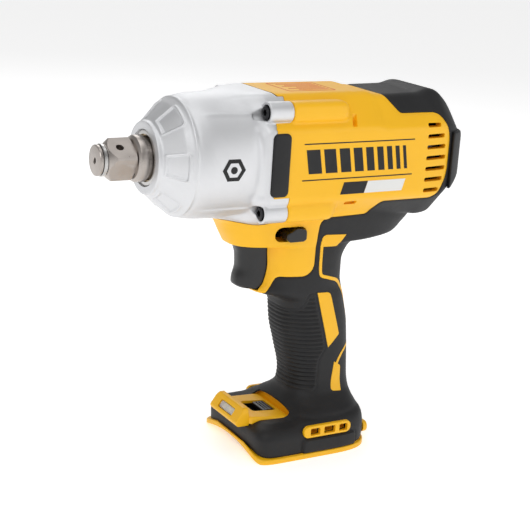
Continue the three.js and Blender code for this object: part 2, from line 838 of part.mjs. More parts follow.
function makeTrigger() {
  const side = new THREE.Shape();
  side.moveTo(8, 136.3);
  side.lineTo(29.6, 136.3);
  side.bezierCurveTo(26.6, 128, 27, 119, 29.8, 112.6);
  side.bezierCurveTo(30, 110, 27, 108, 22.5, 107.7);
  side.lineTo(8, 107.7);
  side.closePath();
  const blade = sideways(side, -10, 10, 6);
  const stem = rod([-6, 9], 2, 12, 0, 122);
  add("trigger", blade.add(stem), "black");
  add("trigger_spring", springRing(), "darkSteel");
}

// The return spring as the sleeve it fills, on the trigger's stem.
function springRing() {
  return turned([[0.4, 2.5], [0.4, 4.6], [7.6, 4.6], [7.6, 2.5]], 16, 0, 122);
}

function makeSwitchModule() {
  const bodyBlock = block([-32, 0], [-9.5, 9.5], [111, 138]);
  add("switch_module", bodyBlock.subtract(rod([-13, 1], 2.5, 12, 0, 122)), "black");
}

function makeLever() {
  const outline = shapeOf([
    [-8, 143.6],
    [-5.5, 142],
    [3.5, 142],
    [6.2, 144.4],
    [6, 148.6],
    [-4, 150.4],
    [-7.4, 149],
  ]);
  const ends = [[-27, -17], [17, 27]].map((y) => sideways(outline, y[0], y[1]));
  const bar = block([-5, 3], [-18, 18], [143.5, 149]);
  add("selector_lever", join(bar, ...ends), "black");
}

// ---------------------------------------------------------------- foot

function makeFootParts() {
  const panelPlan = footPanelOutline(0);
  const window = block([-4, 11], [-8, 8], [18, 40]);
  add("foot_panel", cut(upwards(panelPlan, 20.5, 25.2), window), "yellow");
  add("lamp_slider", block([-3.7, 4.3], [-7.6, 7.6], [20.5, 24.4]), "black");
  add("lamp_pod", cut(sideways(lampPodOutline(0), -17.3, 17.3), lampRoom()), "yellow");
  add("lamp_lens", lampPiece([28.9, LAMP_FACE], 9), "lens");
  add("lamp_board", lampPiece([25.6, 26.8], 8.4), "board");
  add("left_slot_bezel", bezel([37, 39.4]), "yellow");
  add("right_slot_bezel", bezel([-39.4, -37]), "yellow");
  add("rear_bezel", rearBezel(0), "yellow");
}

// Pieces of the lamp are drawn square and then leaned back with the pod's face.
const LAMP_LEAN = THREE.MathUtils.degToRad(-32.5);
const LAMP_CENTRE = [26.9, 25.5];
const LAMP_FACE = 29.9;

function lampPiece(depth, half, height = 2.4) {
  const low = depth[0] - LAMP_FACE;
  const high = depth[1] - LAMP_FACE;
  const geometry = new THREE.BoxGeometry(high - low, 2 * half, 2 * height);
  geometry.translate((low + high) / 2, 0, 0);
  geometry.rotateY(LAMP_LEAN);
  geometry.translate(LAMP_CENTRE[0], 0, LAMP_CENTRE[1]);
  return solid(geometry);
}

function lampRoom() {
  return lampPiece([25.2, 33], 9.3, 2.7);
}

function bezel(y) {
  const windows = SLOT_X.map((x) => block([x - 3.4, x + 3.4], [-45, 45], [15.2, 20]));
  return cut(sideways(bezelOutline(0), y[0], y[1], 4), ...windows);
}

function rearBezel(grow) {
  const outline = roundedRect([-27 - grow, 27 + grow], [4.4 - grow, 12 + grow], 3.4);
  return lengthways(outline, -66.4 - grow, -63 + grow, 4);
}

function makeElectronics() {
  add("control_module", block([-46, 4], [-19, 19], [15.6, 19.2]), "black");
  add("terminal_block", block([-49.4, -30], [-17, 17], [6.4, 15.2]), "black");
  [-9, 9].forEach((y, i) => {
    add(`terminal_blade_${i + 1}`, block([-29.6, -17], [y - 0.5, y + 0.5], [7, 14]), "copper");
  });
}

makeHousings();
makeOvermoulds();
makeRearBumper();
makeHammerCase();
makeSidePads();
makeCaseScrews();
makeHousingScrews();
makeNoseBushing();
makeAnvil();
makeFrictionRing();
makeHammer();
makeCamBalls();
makeHammerSpring();
makeCarrier();
makeGears();
makeRotor();
makeFan();
makeStator();
makeMotorSupports();
makeTrigger();
makeSwitchModule();
makeLever();
makeFootParts();
makeElectronics();

export default group;
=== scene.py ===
"""Cordless impact wrench: the visible pieces and finishes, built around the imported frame."""
import functools
import json
import math

import bmesh
import bpy
import numpy as np
from mathutils import Matrix, Vector


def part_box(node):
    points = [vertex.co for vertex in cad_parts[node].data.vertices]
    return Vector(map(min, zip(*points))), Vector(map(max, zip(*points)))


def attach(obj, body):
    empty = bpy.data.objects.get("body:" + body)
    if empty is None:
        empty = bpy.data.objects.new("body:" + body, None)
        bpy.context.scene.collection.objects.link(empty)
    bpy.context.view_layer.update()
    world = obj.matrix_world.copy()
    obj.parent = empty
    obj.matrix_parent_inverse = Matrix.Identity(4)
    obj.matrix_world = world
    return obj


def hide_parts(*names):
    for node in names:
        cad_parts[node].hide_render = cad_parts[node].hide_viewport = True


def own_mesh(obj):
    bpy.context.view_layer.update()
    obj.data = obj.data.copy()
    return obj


bl_info = {
    "name": "Impact wrench",
    "version": (1, 0, 0),
    "blender": (4, 5, 0),
    "location": "View3D > Sidebar > Wrench",
    "description": "Builds a cordless impact wrench and its studio",
    "category": "Object",
}

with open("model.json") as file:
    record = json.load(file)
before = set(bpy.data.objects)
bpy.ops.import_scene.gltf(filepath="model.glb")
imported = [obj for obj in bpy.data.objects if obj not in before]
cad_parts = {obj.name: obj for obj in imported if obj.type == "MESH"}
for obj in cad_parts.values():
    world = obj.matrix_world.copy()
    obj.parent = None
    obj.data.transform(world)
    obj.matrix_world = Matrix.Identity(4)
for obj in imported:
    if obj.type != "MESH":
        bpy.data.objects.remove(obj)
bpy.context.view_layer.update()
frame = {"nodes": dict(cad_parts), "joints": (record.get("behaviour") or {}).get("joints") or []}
MM = 0.001


def middle(node):
    """The middle of a CAD node, in millimetres."""
    low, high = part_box(node)
    return (low + high) / 2 / MM


# Places that several pieces share, in millimetres, in the frame of the CAD model.
AXIS_Z = frame["joints"][0]["pos_m"][2] / MM
CASE_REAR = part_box("hammer_case")[0].x / MM
BODY_FRONT = CASE_REAR - 0.3
CASE_BOLTS = [middle(f"case_screw_{i}") for i in range(1, 5)]
HOUSING_SCREWS = [middle(f"housing_screw_{i}") for i in range(1, 7)]
BOLT_HEAD_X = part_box("case_screw_1")[1].x / MM
GAP = 0.3
SEAM = 0.02
RUBBER = 2.0
WALL = 4.8
DRIVE_SQUARE = 19.05
DRIVE_PIN_X = 110.5
CASE_MARK = (52.5, 192.5)
SHIELD_FRONT = 20.6
SHIELD_SLOPE = 0.09
SIDES = (("left", 1), ("right", -1))

# Barrel stations: x, top, bottom, half width.
BARREL = [
    (26, 234, 154, 38.4),
    (-46, 234, 154, 38.4),
    (-55, 231.8, 154, 38.4),
    (-84, 232.2, 153.5, 38),
    (-94, 234.6, 152, 37),
    (-101, 233.4, 152.6, 35.8),
    (-107, 229.6, 157, 34),
    (-113, 224, 163.6, 31),
    (-118.5, 217, 170.6, 26.5),
    (-121.5, 209, 178, 19),
]
# Neck, handle and foot stations: z, front, rear, half width.
NECK = [
    (137.4, 34.6, -74, 22.5),
    (139.5, 35.6, -86.5, 23),
    (145, 38.6, -92.6, 24),
    (153.6, 43.2, -99, 26),
    (161, 54, -99, 27.5),
    (166, 54, -99, 27.5),
]
HANDLE = [
    (16, 6, -64, 34),
    (24, 2, -63.6, 33),
    (30, -8.9, -60.8, 27),
    (36, -12.9, -59.2, 21.5),
    (44, -13.3, -58.2, 19.4),
    (64, -8.6, -56.6, 19.6),
    (80, -4.1, -54.8, 20),
    (99, -1.5, -50.3, 20.3),
    (103, 8, -49.5, 20.5),
    (107, 18.2, -48.5, 20.6),
    (112, 14.2, -47.2, 21),
    (124, 11.6, -46.8, 21.6),
    (133, 12.3, -50.5, 22),
    (141, 12.5, -62, 22.4),
]
FOOT = [
    (0, 21.8, -64.4, 38.8),
    (3.5, 21.8, -64.4, 38.8),
    (14, 22.4, -64.8, 38.4),
    (19, 21.6, -64.6, 37),
    (22.5, 19.4, -63.8, 34.6),
    (25, 14, -62.5, 29),
]
# Hammer case stations: x, half width, half height, superellipse power, height of the middle.
CASE_NOSE = [
    (93.2, 21.9, 21.9, 2, AXIS_Z),
    (90.5, 22.4, 22.4, 2, AXIS_Z),
    (80, 32.4, 32.4, 2, AXIS_Z),
]
CASE_BARREL = [
    (76.5, 34.9, 34.9, 2, AXIS_Z),
    (70.5, 37.1, 37.1, 2, AXIS_Z),
    (64, 38, 38, 2, AXIS_Z),
    (56, 38.2, 38.3, 2, AXIS_Z),
    (47, 38.3, 38.8, 2, AXIS_Z + 0.4),
    (38, 38.3, 39.6, 2.05, AXIS_Z + 0.8),
    (30, 38.1, 40.4, 2.1, AXIS_Z + 1),
    (CASE_REAR, 38.1, 41, 2.1, AXIS_Z + 1),
]
HANDLE_SPACE = [
    (14, -18, -48, 13),
    (40, -20, -53, 13.5),
    (80, -10, -49, 14),
    (107, -6, -43, 14.5),
    (110, 7, -42, 14.5),
    (172, 7, -45, 15),
]
# Border of the rubber seen from the side: x, z and the radius of the corner.
RUBBER_BORDER = [
    (-47, 260, 0),
    (-47, 240, 3),
    (-58.5, 233, 9),
    (-67.5, 221, 4),
    (-97, 221, 10),
    (-105.4, 208, 24),
    (-105.4, 180, 24),
    (-96.5, 166.3, 9),
    (-57, 166.3, 4),
    (-52, 156.6, 5),
    (-17.8, 156, 6),
    (-18.4, 117, 8),
    (6, 117.4, 4),
    (9, 111.2, 6),
    (12, 107, 3),
    (12, 96, 0),
    (60, 96, 0),
    (60, 3.4, 0),
    (-150, 3.4, 0),
    (-150, 260, 0),
]
GRIP_PANEL = [
    (30, 94.6, 0),
    (0, 94.6, 6),
    (-13, 93, 7),
    (-16.5, 104.8, 5),
    (-21.4, 104.8, 0),
    (-33.2, 66, 8),
    (-28.4, 58, 8),
    (-28.4, 37.2, 4),
    (30, 37.2, 0),
]
# Windows in the foot's side trims: middle and half width.
SLOTS = ((-17.1, 3.6), (-28, 4.2), (-38.4, 3.1))


# ------------------------------------------------------------------ outlines and curves


def rounded(corners, radius=0.0, steps=6):
    """A closed outline with round corners. A corner of three numbers has a radius of its own."""
    outline = []
    for i, corner in enumerate(corners):
        here, before, after = (np.array(corners[k % len(corners)][:2], float) for k in (i, i - 1, i + 1))
        bend = corner[2] if len(corner) > 2 else radius
        if bend <= 0:
            outline.append(here)
            continue
        ways = [before - here, after - here]
        lengths = [np.linalg.norm(way) for way in ways]
        ways = [way / length for way, length in zip(ways, lengths)]
        half = math.acos(np.clip(ways[0] @ ways[1], -1, 1)) / 2
        reach = min(bend / math.tan(half), 0.49 * min(lengths))
        ends = [here + way * reach for way in ways]
        sweep = math.pi - 2 * half
        if sweep < 0.01:
            outline.extend(ends[0] + (ends[1] - ends[0]) * t for t in np.linspace(0, 1, steps + 1))
            continue
        towards = (ways[0] + ways[1]) / np.linalg.norm(ways[0] + ways[1])
        centre = here + towards * reach / math.cos(half)
        arms = [end - centre for end in ends]
        for t in np.linspace(0, 1, steps + 1):
            arm = math.sin((1 - t) * sweep) * arms[0] + math.sin(t * sweep) * arms[1]
            outline.append(centre + arm / math.sin(sweep))
    return outline


def box_outline(u, v, radius):
    """A rectangle with round corners."""
    return rounded([(u[0], v[0]), (u[1], v[0]), (u[1], v[1]), (u[0], v[1])], radius)


def offset(outline, amount):
    """A closed outline moved outwards by an amount, or inwards by a negative one."""
    points = np.array(outline, float)
    after = np.roll(points, -1, axis=0)
    turn = np.sign(np.sum(points[:, 0] * after[:, 1] - after[:, 0] * points[:, 1]))
    edges = after - points
    lengths = np.linalg.norm(edges, axis=1)
    points, edges = points[lengths > 1e-6], edges[lengths > 1e-6]
    edges /= np.linalg.norm(edges, axis=1)[:, None]
    normals = np.stack([edges[:, 1], -edges[:, 0]], axis=1) * turn
    mitre = normals + np.roll(normals, 1, axis=0)
    mitre /= np.linalg.norm(mitre, axis=1)[:, None]
    stretch = np.maximum(np.sum(mitre * normals, axis=1), 0.4)
    return points + mitre * (amount / stretch)[:, None]


def ribbon(path, width):
    """The outline of a band that follows a path. It narrows where the widths say so."""
    points = np.array(path, float)
    along = np.gradient(points, axis=0)
    across = np.stack([along[:, 1], -along[:, 0]], axis=1)
    across /= np.linalg.norm(across, axis=1)[:, None]
    half = np.broadcast_to(np.array(width, float) / 2, len(points))[:, None]
    return np.concatenate([points + across * half, (points - across * half)[::-1]])


def eased(rows, steps):
    """Rows joined by curves that don't overshoot. The first number of a row is its station."""
    table = np.array(rows, float)
    stations = table[:, 0]
    rises = np.diff(table, axis=0) / np.diff(stations)[:, None]
    slopes = np.concatenate([rises[:1], np.zeros_like(rises[1:]), rises[-1:]])
    same = rises[:-1] * rises[1:] > 0
    total = np.where(same, rises[:-1] + rises[1:], 1)
    slopes[1:-1] = np.where(same, 2 * rises[:-1] * rises[1:] / total, 0)
    made = []
    for i, span in enumerate(np.diff(stations)):
        for t in np.arange(steps) / steps:
            start = (1 + 2 * t) * (1 - t) ** 2 * table[i] + t * (1 - t) ** 2 * span * slopes[i]
            end = t * t * (3 - 2 * t) * table[i + 1] - t * t * (1 - t) * span * slopes[i + 1]
            made.append(start + end)
    return made + [table[-1]]


def inside_depth(outline, u, v):
    """How far each point is inside an outline: positive inside, negative outside."""
    points = np.stack([u, v], axis=1)
    nearest = np.full(len(points), np.inf)
    inside = np.zeros(len(points), bool)
    for start, end in zip(outline, np.roll(outline, -1, axis=0)):
        edge = end - start
        along = np.clip((points - start) @ edge / max(edge @ edge, 1e-9), 0, 1)
        nearest = np.minimum(nearest, np.linalg.norm(points - start - along[:, None] * edge, axis=1))
        crosses = (start[1] > v) != (end[1] > v)
        border = start[0] + (v - start[1]) * edge[0] / (edge[1] if edge[1] else 1e-9)
        inside ^= crosses & (u < border)
    return np.where(inside, nearest, -nearest)


def smooth_step(value):
    t = np.clip(value, 0, 1)
    return t * t * (3 - 2 * t)


# ------------------------------------------------------------------ solids


class Form:
    """A closed solid in millimetres. Solids given to add, cut or keep are used up."""

    def __init__(self, points, faces):
        mesh = bpy.data.meshes.new("form")
        mesh.from_pydata((np.asarray(points, float) * MM).tolist(), [], faces)
        sheet = bmesh.new()
        sheet.from_mesh(mesh)
        bmesh.ops.remove_doubles(sheet, verts=sheet.verts, dist=1e-7)
        bmesh.ops.recalc_face_normals(sheet, faces=sheet.faces)
        sheet.to_mesh(mesh)
        sheet.free()
        self._hold(mesh)

    def _hold(self, mesh):
        self.holder = bpy.data.objects.new("form", mesh)
        bpy.context.scene.collection.objects.link(self.holder)

    def _apply(self):
        graph = bpy.context.evaluated_depsgraph_get()
        mesh = bpy.data.meshes.new_from_object(self.holder.evaluated_get(graph))
        self.holder.modifiers.clear()
        old, self.holder.data = self.holder.data, mesh
        bpy.data.meshes.remove(old)
        if not mesh.polygons:
            raise RuntimeError("a join or cut left nothing")
        return self

    def _combine(self, operation, others):
        for other in others:
            step = self.holder.modifiers.new("step", "BOOLEAN")
            step.operation = operation
            step.solver = "MANIFOLD"
            step.object = other.holder
        self._apply()
        for other in others:
            other.discard()
        return self

    def add(self, *others):
        return self._combine("UNION", others)

    def cut(self, *others):
        tool = others[0].add(*others[1:]) if len(others) > 1 else others[0]
        return self._combine("DIFFERENCE", [tool])

    def keep(self, other):
        return self._combine("INTERSECT", [other])

    def copy(self):
        twin = Form.__new__(Form)
        twin._hold(self.holder.data.copy())
        return twin

    def discard(self):
        mesh = self.holder.data
        bpy.data.objects.remove(self.holder)
        bpy.data.meshes.remove(mesh)

    def soften(self, grain, rounds):
        """Remeshes the solid with an even grain and rounds its edges."""
        remesh = self.holder.modifiers.new("grain", "REMESH")
        remesh.mode = "VOXEL"
        remesh.voxel_size = grain * MM
        smooth = self.holder.modifiers.new("smooth", "SMOOTH")
        smooth.factor = 0.5
        smooth.iterations = rounds
        return self._apply()

    def points(self):
        flat = np.zeros(len(self.holder.data.vertices) * 3)
        self.holder.data.vertices.foreach_get("co", flat)
        return flat.reshape(-1, 3) / MM

    def swell(self, amount):
        """Moves each vertex along its normal, by one amount or an amount for each."""
        mesh = self.holder.data
        normals = np.zeros(len(mesh.vertices) * 3, np.float32)
        mesh.vertex_normals.foreach_get("vector", normals)
        height = np.broadcast_to(amount, len(mesh.vertices))[:, None]
        return self.move_to(self.points() + normals.reshape(-1, 3) * height)

    def move_to(self, points):
        self.holder.data.vertices.foreach_set("co", (points * MM).ravel())
        self.holder.data.update()
        return self

    def refine(self, chosen):
        """Halves the edges between the chosen vertices."""
        sheet = bmesh.new()
        sheet.from_mesh(self.holder.data)
        edges = [e for e in sheet.edges if all(chosen[v.index] for v in e.verts)]
        bmesh.ops.subdivide_edges(sheet, edges=edges, cuts=1, use_grid_fill=True, smooth=0.3)
        bmesh.ops.triangulate(sheet, faces=[f for f in sheet.faces if len(f.verts) > 4])
        sheet.to_mesh(self.holder.data)
        sheet.free()
        return self

    def turn(self, matrix):
        self.holder.data.transform(matrix)
        return self

    def mirror(self, x, y):
        """Swaps the sides along an axis whose factor is -1."""
        self.turn(Matrix.Diagonal((x, y, 1, 1)))
        self.holder.data.flip_normals()
        return self

    def piece(self, name, finish, body="housing", replaces=(), sharp=38):
        """Hands the solid over as a finished piece of the wrench."""
        mesh = self.holder.data
        self.holder.name = name
        mesh.name = name
        mesh.materials.clear()
        mesh.materials.append(finish_named(finish))
        mesh.shade_smooth()
        mesh.set_sharp_from_angle(angle=math.radians(sharp))
        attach(self.holder, body)
        if replaces:
            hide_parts(*replaces)
        return self.holder


def loft(rings):
    """A skin over rings of points, closed by a flat face at each end."""
    count = len(rings[0])
    points = np.concatenate([np.asarray(ring, float) for ring in rings])
    faces = [list(range(count))[::-1], list(range(len(points) - count, len(points)))]
    for r in range(len(rings) - 1):
        for i in range(count):
            a, b = r * count + i, r * count + (i + 1) % count
            faces.append([a, b, b + count, a + count])
    return Form(points, faces)


PLACES = {
    "x": lambda u, v, depth: (depth, u, v),
    "y": lambda u, v, depth: (u, depth, v),
    "z": lambda u, v, depth: (u, v, depth),
}


def prism(outline, low, high, axis="y"):
    """An outline drawn out along an axis. Its coordinates are the other two, in order."""
    place = PLACES[axis]
    return loft([[place(u, v, depth) for u, v in outline] for depth in (low, high)])


def pillow(outline, low, high, axis, edge):
    """A prism with its top edge rounded off."""
    rings = [(low, 0.0)]
    for angle in np.radians((0, 30, 60, 90)):
        rings.append((high - edge * (1 - math.sin(angle)), edge * (1 - math.cos(angle))))
    place = PLACES[axis]
    return loft([[place(u, v, depth) for u, v in offset(outline, -inset)] for depth, inset in rings])


def block(x, y, z):
    return prism([(x[0], y[0]), (x[1], y[0]), (x[1], y[1]), (x[0], y[1])], z[0], z[1], "z")


def turned(profile, y=0.0, z=AXIS_Z, segments=96):
    """A profile of x and radius turned round an axis along X. It starts and ends on the axis."""
    angles = np.linspace(0, 2 * math.pi, segments, endpoint=False)
    rings = [[(x, y + r * math.cos(a), z + r * math.sin(a)) for a in angles] for x, r in profile]
    return loft(rings)


def rod(x, radius, y=0.0, z=AXIS_Z, segments=48):
    return turned([(x[0], radius), (x[1], radius)], y, z, segments)


def ring(profile, bore, segments=96):
    """A turned piece with a bore right through it."""
    low, high = profile[0][0], profile[-1][0]
    return turned(profile, segments=segments).cut(rod((low - 1, high + 1), bore, segments=segments))


def circle(u, v, radius, count):
    angles = np.linspace(0, 2 * math.pi, count, endpoint=False)
    return [(u + radius * math.cos(a), v + radius * math.sin(a)) for a in angles]


def cross_rod(x, z, y, radius, segments=32):
    """A rod along Y."""
    return prism(circle(x, z, radius, segments), *y)


def oval(half_u, half_v, power, count, rear_power=None):
    """A superellipse: round at power 2, boxy at higher powers; the half at -u may differ."""
    angles = 2 * math.pi * (np.arange(count) + 0.5) / count
    power = np.where(np.cos(angles) > 0, power, rear_power or power)
    u = half_u * np.sign(np.cos(angles)) * np.abs(np.cos(angles)) ** (2 / power)
    v = half_v * np.sign(np.sin(angles)) * np.abs(np.sin(angles)) ** (2 / power)
    return u, v


# ------------------------------------------------------------------ form of the body


def barrel_section(top, bottom, half):
    """The barrel's outline from the front: flat top and sides with sloping shoulders."""
    height = top - bottom
    shoulder, hip = top - 0.245 * height, bottom + 0.21 * height
    right = [(0.57 * half, top), (half, shoulder), (half, hip), (0.57 * half, bottom)]
    left = [(-y, z) for y, z in reversed(right)]
    return rounded(right + left, 7)


def barrel_form(inset=0.0, steps=5):
    rows = eased(BARREL, steps)
    rear = BARREL[-1][0] + inset
    rings = []
    for i, (x, top, bottom, half) in enumerate(rows):
        station = rear if i + 1 == len(rows) else max(x, rear + 0.01 * (len(rows) - i))
        outline = barrel_section(top - inset, bottom + inset, half - inset)
        rings.append([(station, y, z) for y, z in outline])
    return loft(rings)


def column_form(rows, inset=0.0, power=2.7, steps=5, count=72, rear_power=None):
    rings = []
    for z, front, rear, half in eased(rows, steps):
        u, v = oval((front - rear) / 2 - inset, half - inset, power, count, rear_power)
        rings.append([(x + (front + rear) / 2, y, z) for x, y in zip(u, v)])
    return loft(rings)


def screw_ridges():
    """The ridges that run back along the barrel from the bolts of the hammer case."""
    ridges = []
    for bolt in CASE_BOLTS:
        up = math.copysign(1, bolt.z - AXIS_Z)
        side = math.copysign(1, bolt.y)
        tail = -30 if up > 0 else -25
        rows = [(BODY_FRONT, 0, 6.5), (tail + 9, 0, 6.5), (tail + 4, 1, 5.6), (tail, 5, 2.5)]
        rings = []
        for x, drop, radius in eased(rows, 4):
            u, v = oval(radius, radius, 3, 40)
            rings.append([(x, bolt.y - side * drop + y, bolt.z - up * drop + z) for y, z in zip(u, v)])
        ridges.append(loft(rings))
    return ridges


def neck_form():
    """The neck, trimmed under the hammer case to a lip that rises towards the front."""
    top = 175
    lip = [
        (BODY_FRONT, 155.4), (28, 154.4), (38, 155.2), (46, 157.4),
        (58, 165), (64, top), (BODY_FRONT, top),
    ]
    return column_form(NECK).cut(prism(lip, -60, 60))


def dipped(form):
    """Lowers the top of the foot towards its front."""
    points = form.points()
    x, z = points[:, 0], points[:, 2]
    forward = smooth_step((x + 16) / 14)
    points[:, 2] -= 2.5 * forward * smooth_step((z - 13) / 11) * smooth_step((60 - z) / 25)
    return form.move_to(points)


@functools.cache
def body_skin():
    """The outside of the whole body, with soft creases where its forms meet."""
    foot = column_form(FOOT, power=9, rear_power=3.8, count=112)
    body = barrel_form().add(neck_form(), column_form(HANDLE), foot, *screw_ridges())
    return dipped(body.soften(settings().body_grain, 10))


def body_core(inset):
    """The form under the rubber, which only shows in the gaps."""
    top = (22.2 - inset,) + FOOT[-2][1:]
    foot = column_form(FOOT[:-2] + [top], inset, power=9, steps=1, count=64, rear_power=3.8)
    neck_low = NECK[0][0] + inset
    neck = [(neck_low,) + NECK[0][1:]] + [row for row in NECK if row[0] > neck_low]
    parts = [column_form(neck, inset, steps=2, count=40), column_form(HANDLE, inset, steps=2, count=40)]
    return dipped(barrel_form(inset, 2).add(*parts, foot))


def rubber_border():
    return np.array(rounded(RUBBER_BORDER))


def reach(outline, angles):
    """How far an outline is from its origin at each angle."""
    found = np.zeros(len(angles))
    ways = np.stack([np.cos(angles), np.sin(angles)], axis=1)
    for start, end in zip(outline, np.roll(outline, -1, axis=0)):
        edge = end - start
        across = ways[:, 0] * edge[1] - ways[:, 1] * edge[0]
        across = np.where(np.abs(across) < 1e-9, 1e-9, across)
        distance = (start[0] * edge[1] - start[1] * edge[0]) / across
        along = (start[0] * ways[:, 1] - start[1] * ways[:, 0]) / across
        hit = (along >= -1e-6) & (along <= 1 + 1e-6) & (distance > 0)
        found = np.where(hit, np.maximum(found, distance), found)
    return found


def case_form(grow=0.0, count=144):
    """The hammer case: round at the nose, with the barrel's flat top and shoulders at the rear."""
    angles = 2 * math.pi * (np.arange(count) + 0.5) / count
    rear = np.array(barrel_section(234, 153, 38.1)) - (0, AXIS_Z)
    rear_reach = reach(rear, angles)
    top = smooth_step((0.6 - np.abs(np.cos(angles))) / 0.25)
    rings = []
    for x, half, height, power, centre in CASE_NOSE + eased(CASE_BARREL, 5):
        u, v = oval(half, height, power, count)
        round_reach = reach(np.stack([u, v + centre - AXIS_Z], axis=1), angles)
        boxy = smooth_step((36 + 20 * top - x) / (10 + 24 * top))
        radius = round_reach + (rear_reach - round_reach) * boxy + grow
        rings.append([(x, r * math.cos(a), AXIS_Z + r * math.sin(a)) for r, a in zip(radius, angles)])
    return loft(rings)


def brow():
    """The housing's top edge reaches forward over the hammer case."""
    outline = [(8.6, 250), (8.6, 228.2), (13, 229.8), (17, 232), (21, 236), (24, 239), (24, 250)]
    return prism(outline, -22.5, 22.5)


def bay_opening():
    """Where a battery slides in under the foot, with a rail on each side."""
    arch = [(y, arch_height(30, y)) for y in np.linspace(-37, 37, 25)] + [(37, -1), (-37, -1)]
    between = block((-50, 17), (-24, 24), (-1, 12.6))
    above_rails = block((-50, 17), (-28.5, 28.5), (5.5, 12.6))
    return between.add(above_rails, prism(arch, 10, 30, "x"))


def vent_slots():
    ends = (-96, -99.7, -101.3, -102.2, -102.5, -100.8, -98.1)
    slots = []
    for i, rear in enumerate(ends):
        z = AXIS_Z + 20 - i * 6.97
        outline = box_outline((rear, -85.5), (z - 1.35, z + 1.35), 1.1)
        slots += [prism(outline, 20, 45), prism(outline, -45, -20)]
    return slots


def slot_windows():
    outlines = [box_outline((x - half, x + half), (15.2, 20), 0.8) for x, half in SLOTS]
    return [prism(outline, *y) for outline in outlines for y in ((28, 45), (-45, -28))]


def bezel_outline(margin=0.0):
    return box_outline((-44.2 - margin, -8.7 + margin), (13.6 - margin, 21.6 + margin), 3.6)


def panel_outline(margin=0.0):
    rear, front = -8 - margin, SHIELD_FRONT
    wide, narrow = 22 + margin, 19 + margin
    return rounded([(rear, -wide), (front, -narrow), (front, narrow), (rear, wide)], 3)


def pod_outline(margin=0.0):
    corners = [(20, 18.8, 0), (28, 19, 1.6), (30.8, 21.4, 2), (24, 31, 1.6), (20.9, 31, 0.8), (20, 24, 0)]
    return offset(rounded(corners), margin)


def lever_outline(margin=0.0):
    return box_outline((-8.8 - margin, 12.2 + margin), (141.2 - margin, 151.2 + margin), 4.6)


def outer_cuts():
    """What the housing and the rubber both give room to."""
    bezels = [prism(bezel_outline(GAP), *y) for y in ((36.7, 45), (-45, -36.7))]
    rear = prism(box_outline((-27.3, 27.3), (4.1, 12.3), 3.4), -66.8, -62.7, "x")
    heads = [cross_rod(s.x, s.z, (-45, s.y), 3 + GAP) for s in screw_heads()]
    return [
        bay_opening(),
        block((0, 45), (-10.6, 10.6), (107.2, 136.7)),
        prism(lever_outline(), -40, 40),
        block((5, 13.2), (-3.9, 3.9), (140.2, 152.2)),
        case_form(GAP).cut(brow()),
        *vent_slots(),
        *slot_windows(),
        sloped(prism(panel_outline(GAP), 20, 40, "z")),
        prism(pod_outline(GAP), -17.8 - GAP, 17.8 + GAP),
        *bezels,
        rear,
        *heads,
    ]


def screw_heads():
    """The inner face of each housing screw's head."""
    outer = [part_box(f"housing_screw_{i + 1}")[0].y / MM for i in range(len(HOUSING_SCREWS))]
    return [Vector((screw.x, y + 2.9, screw.z)) for screw, y in zip(HOUSING_SCREWS, outer)]


def inner_space():
    parts = [
        rod((-20, 30), 33.4),
        block((-50, 16), (-30, 30), (12, 19.6)),
        column_form(HANDLE_SPACE, steps=1, count=32),
    ]
    return barrel_form(WALL, 2).add(*parts)


def half_space(side):
    y = (SEAM / 2, 60) if side > 0 else (-60, -SEAM / 2)
    return block((-140, 140), y, (-5, 260))


# ------------------------------------------------------------------ finishes


class Value:
    """A socket of a finish that can be used in sums."""

    def __init__(self, finish, socket):
        self.finish = finish
        self.socket = socket

    def _maths(self, operation, first, second):
        return self.finish.node("ShaderNodeMath", {"operation": operation}, {0: first, 1: second})

    def __add__(self, other):
        return self._maths("ADD", self, other)

    __radd__ = __add__

    def __mul__(self, other):
        return self._maths("MULTIPLY", self, other)

    __rmul__ = __mul__


class NodeTree:
    """The nodes of a material or of the world."""

    def __init__(self, owner):
        owner.use_nodes = True
        self.tree = owner.node_tree
        self.tree.nodes.clear()

    def node(self, kind, settings=None, inputs=None, output=0):
        made = self.tree.nodes.new(kind)
        for key, value in (settings or {}).items():
            if key == "stops":
                self._stops(made.color_ramp, value)
            else:
                setattr(made, key, value)
        for key, value in (inputs or {}).items():
            self._feed(made.inputs[key], value)
        return Value(self, made.outputs[output]) if output is not None else None

    def _stops(self, ramp, stops):
        while len(ramp.elements) < len(stops):
            ramp.elements.new(1)
        for element, (position, shade) in zip(ramp.elements, stops):
            element.position = position
            element.color = (shade, shade, shade, 1)

    def _feed(self, socket, value):
        if isinstance(value, Value):
            self.tree.links.new(value.socket, socket)
        else:
            socket.default_value = value

    def ramp(self, value, *stops):
        return self.node("ShaderNodeValToRGB", {"stops": stops}, {0: value})


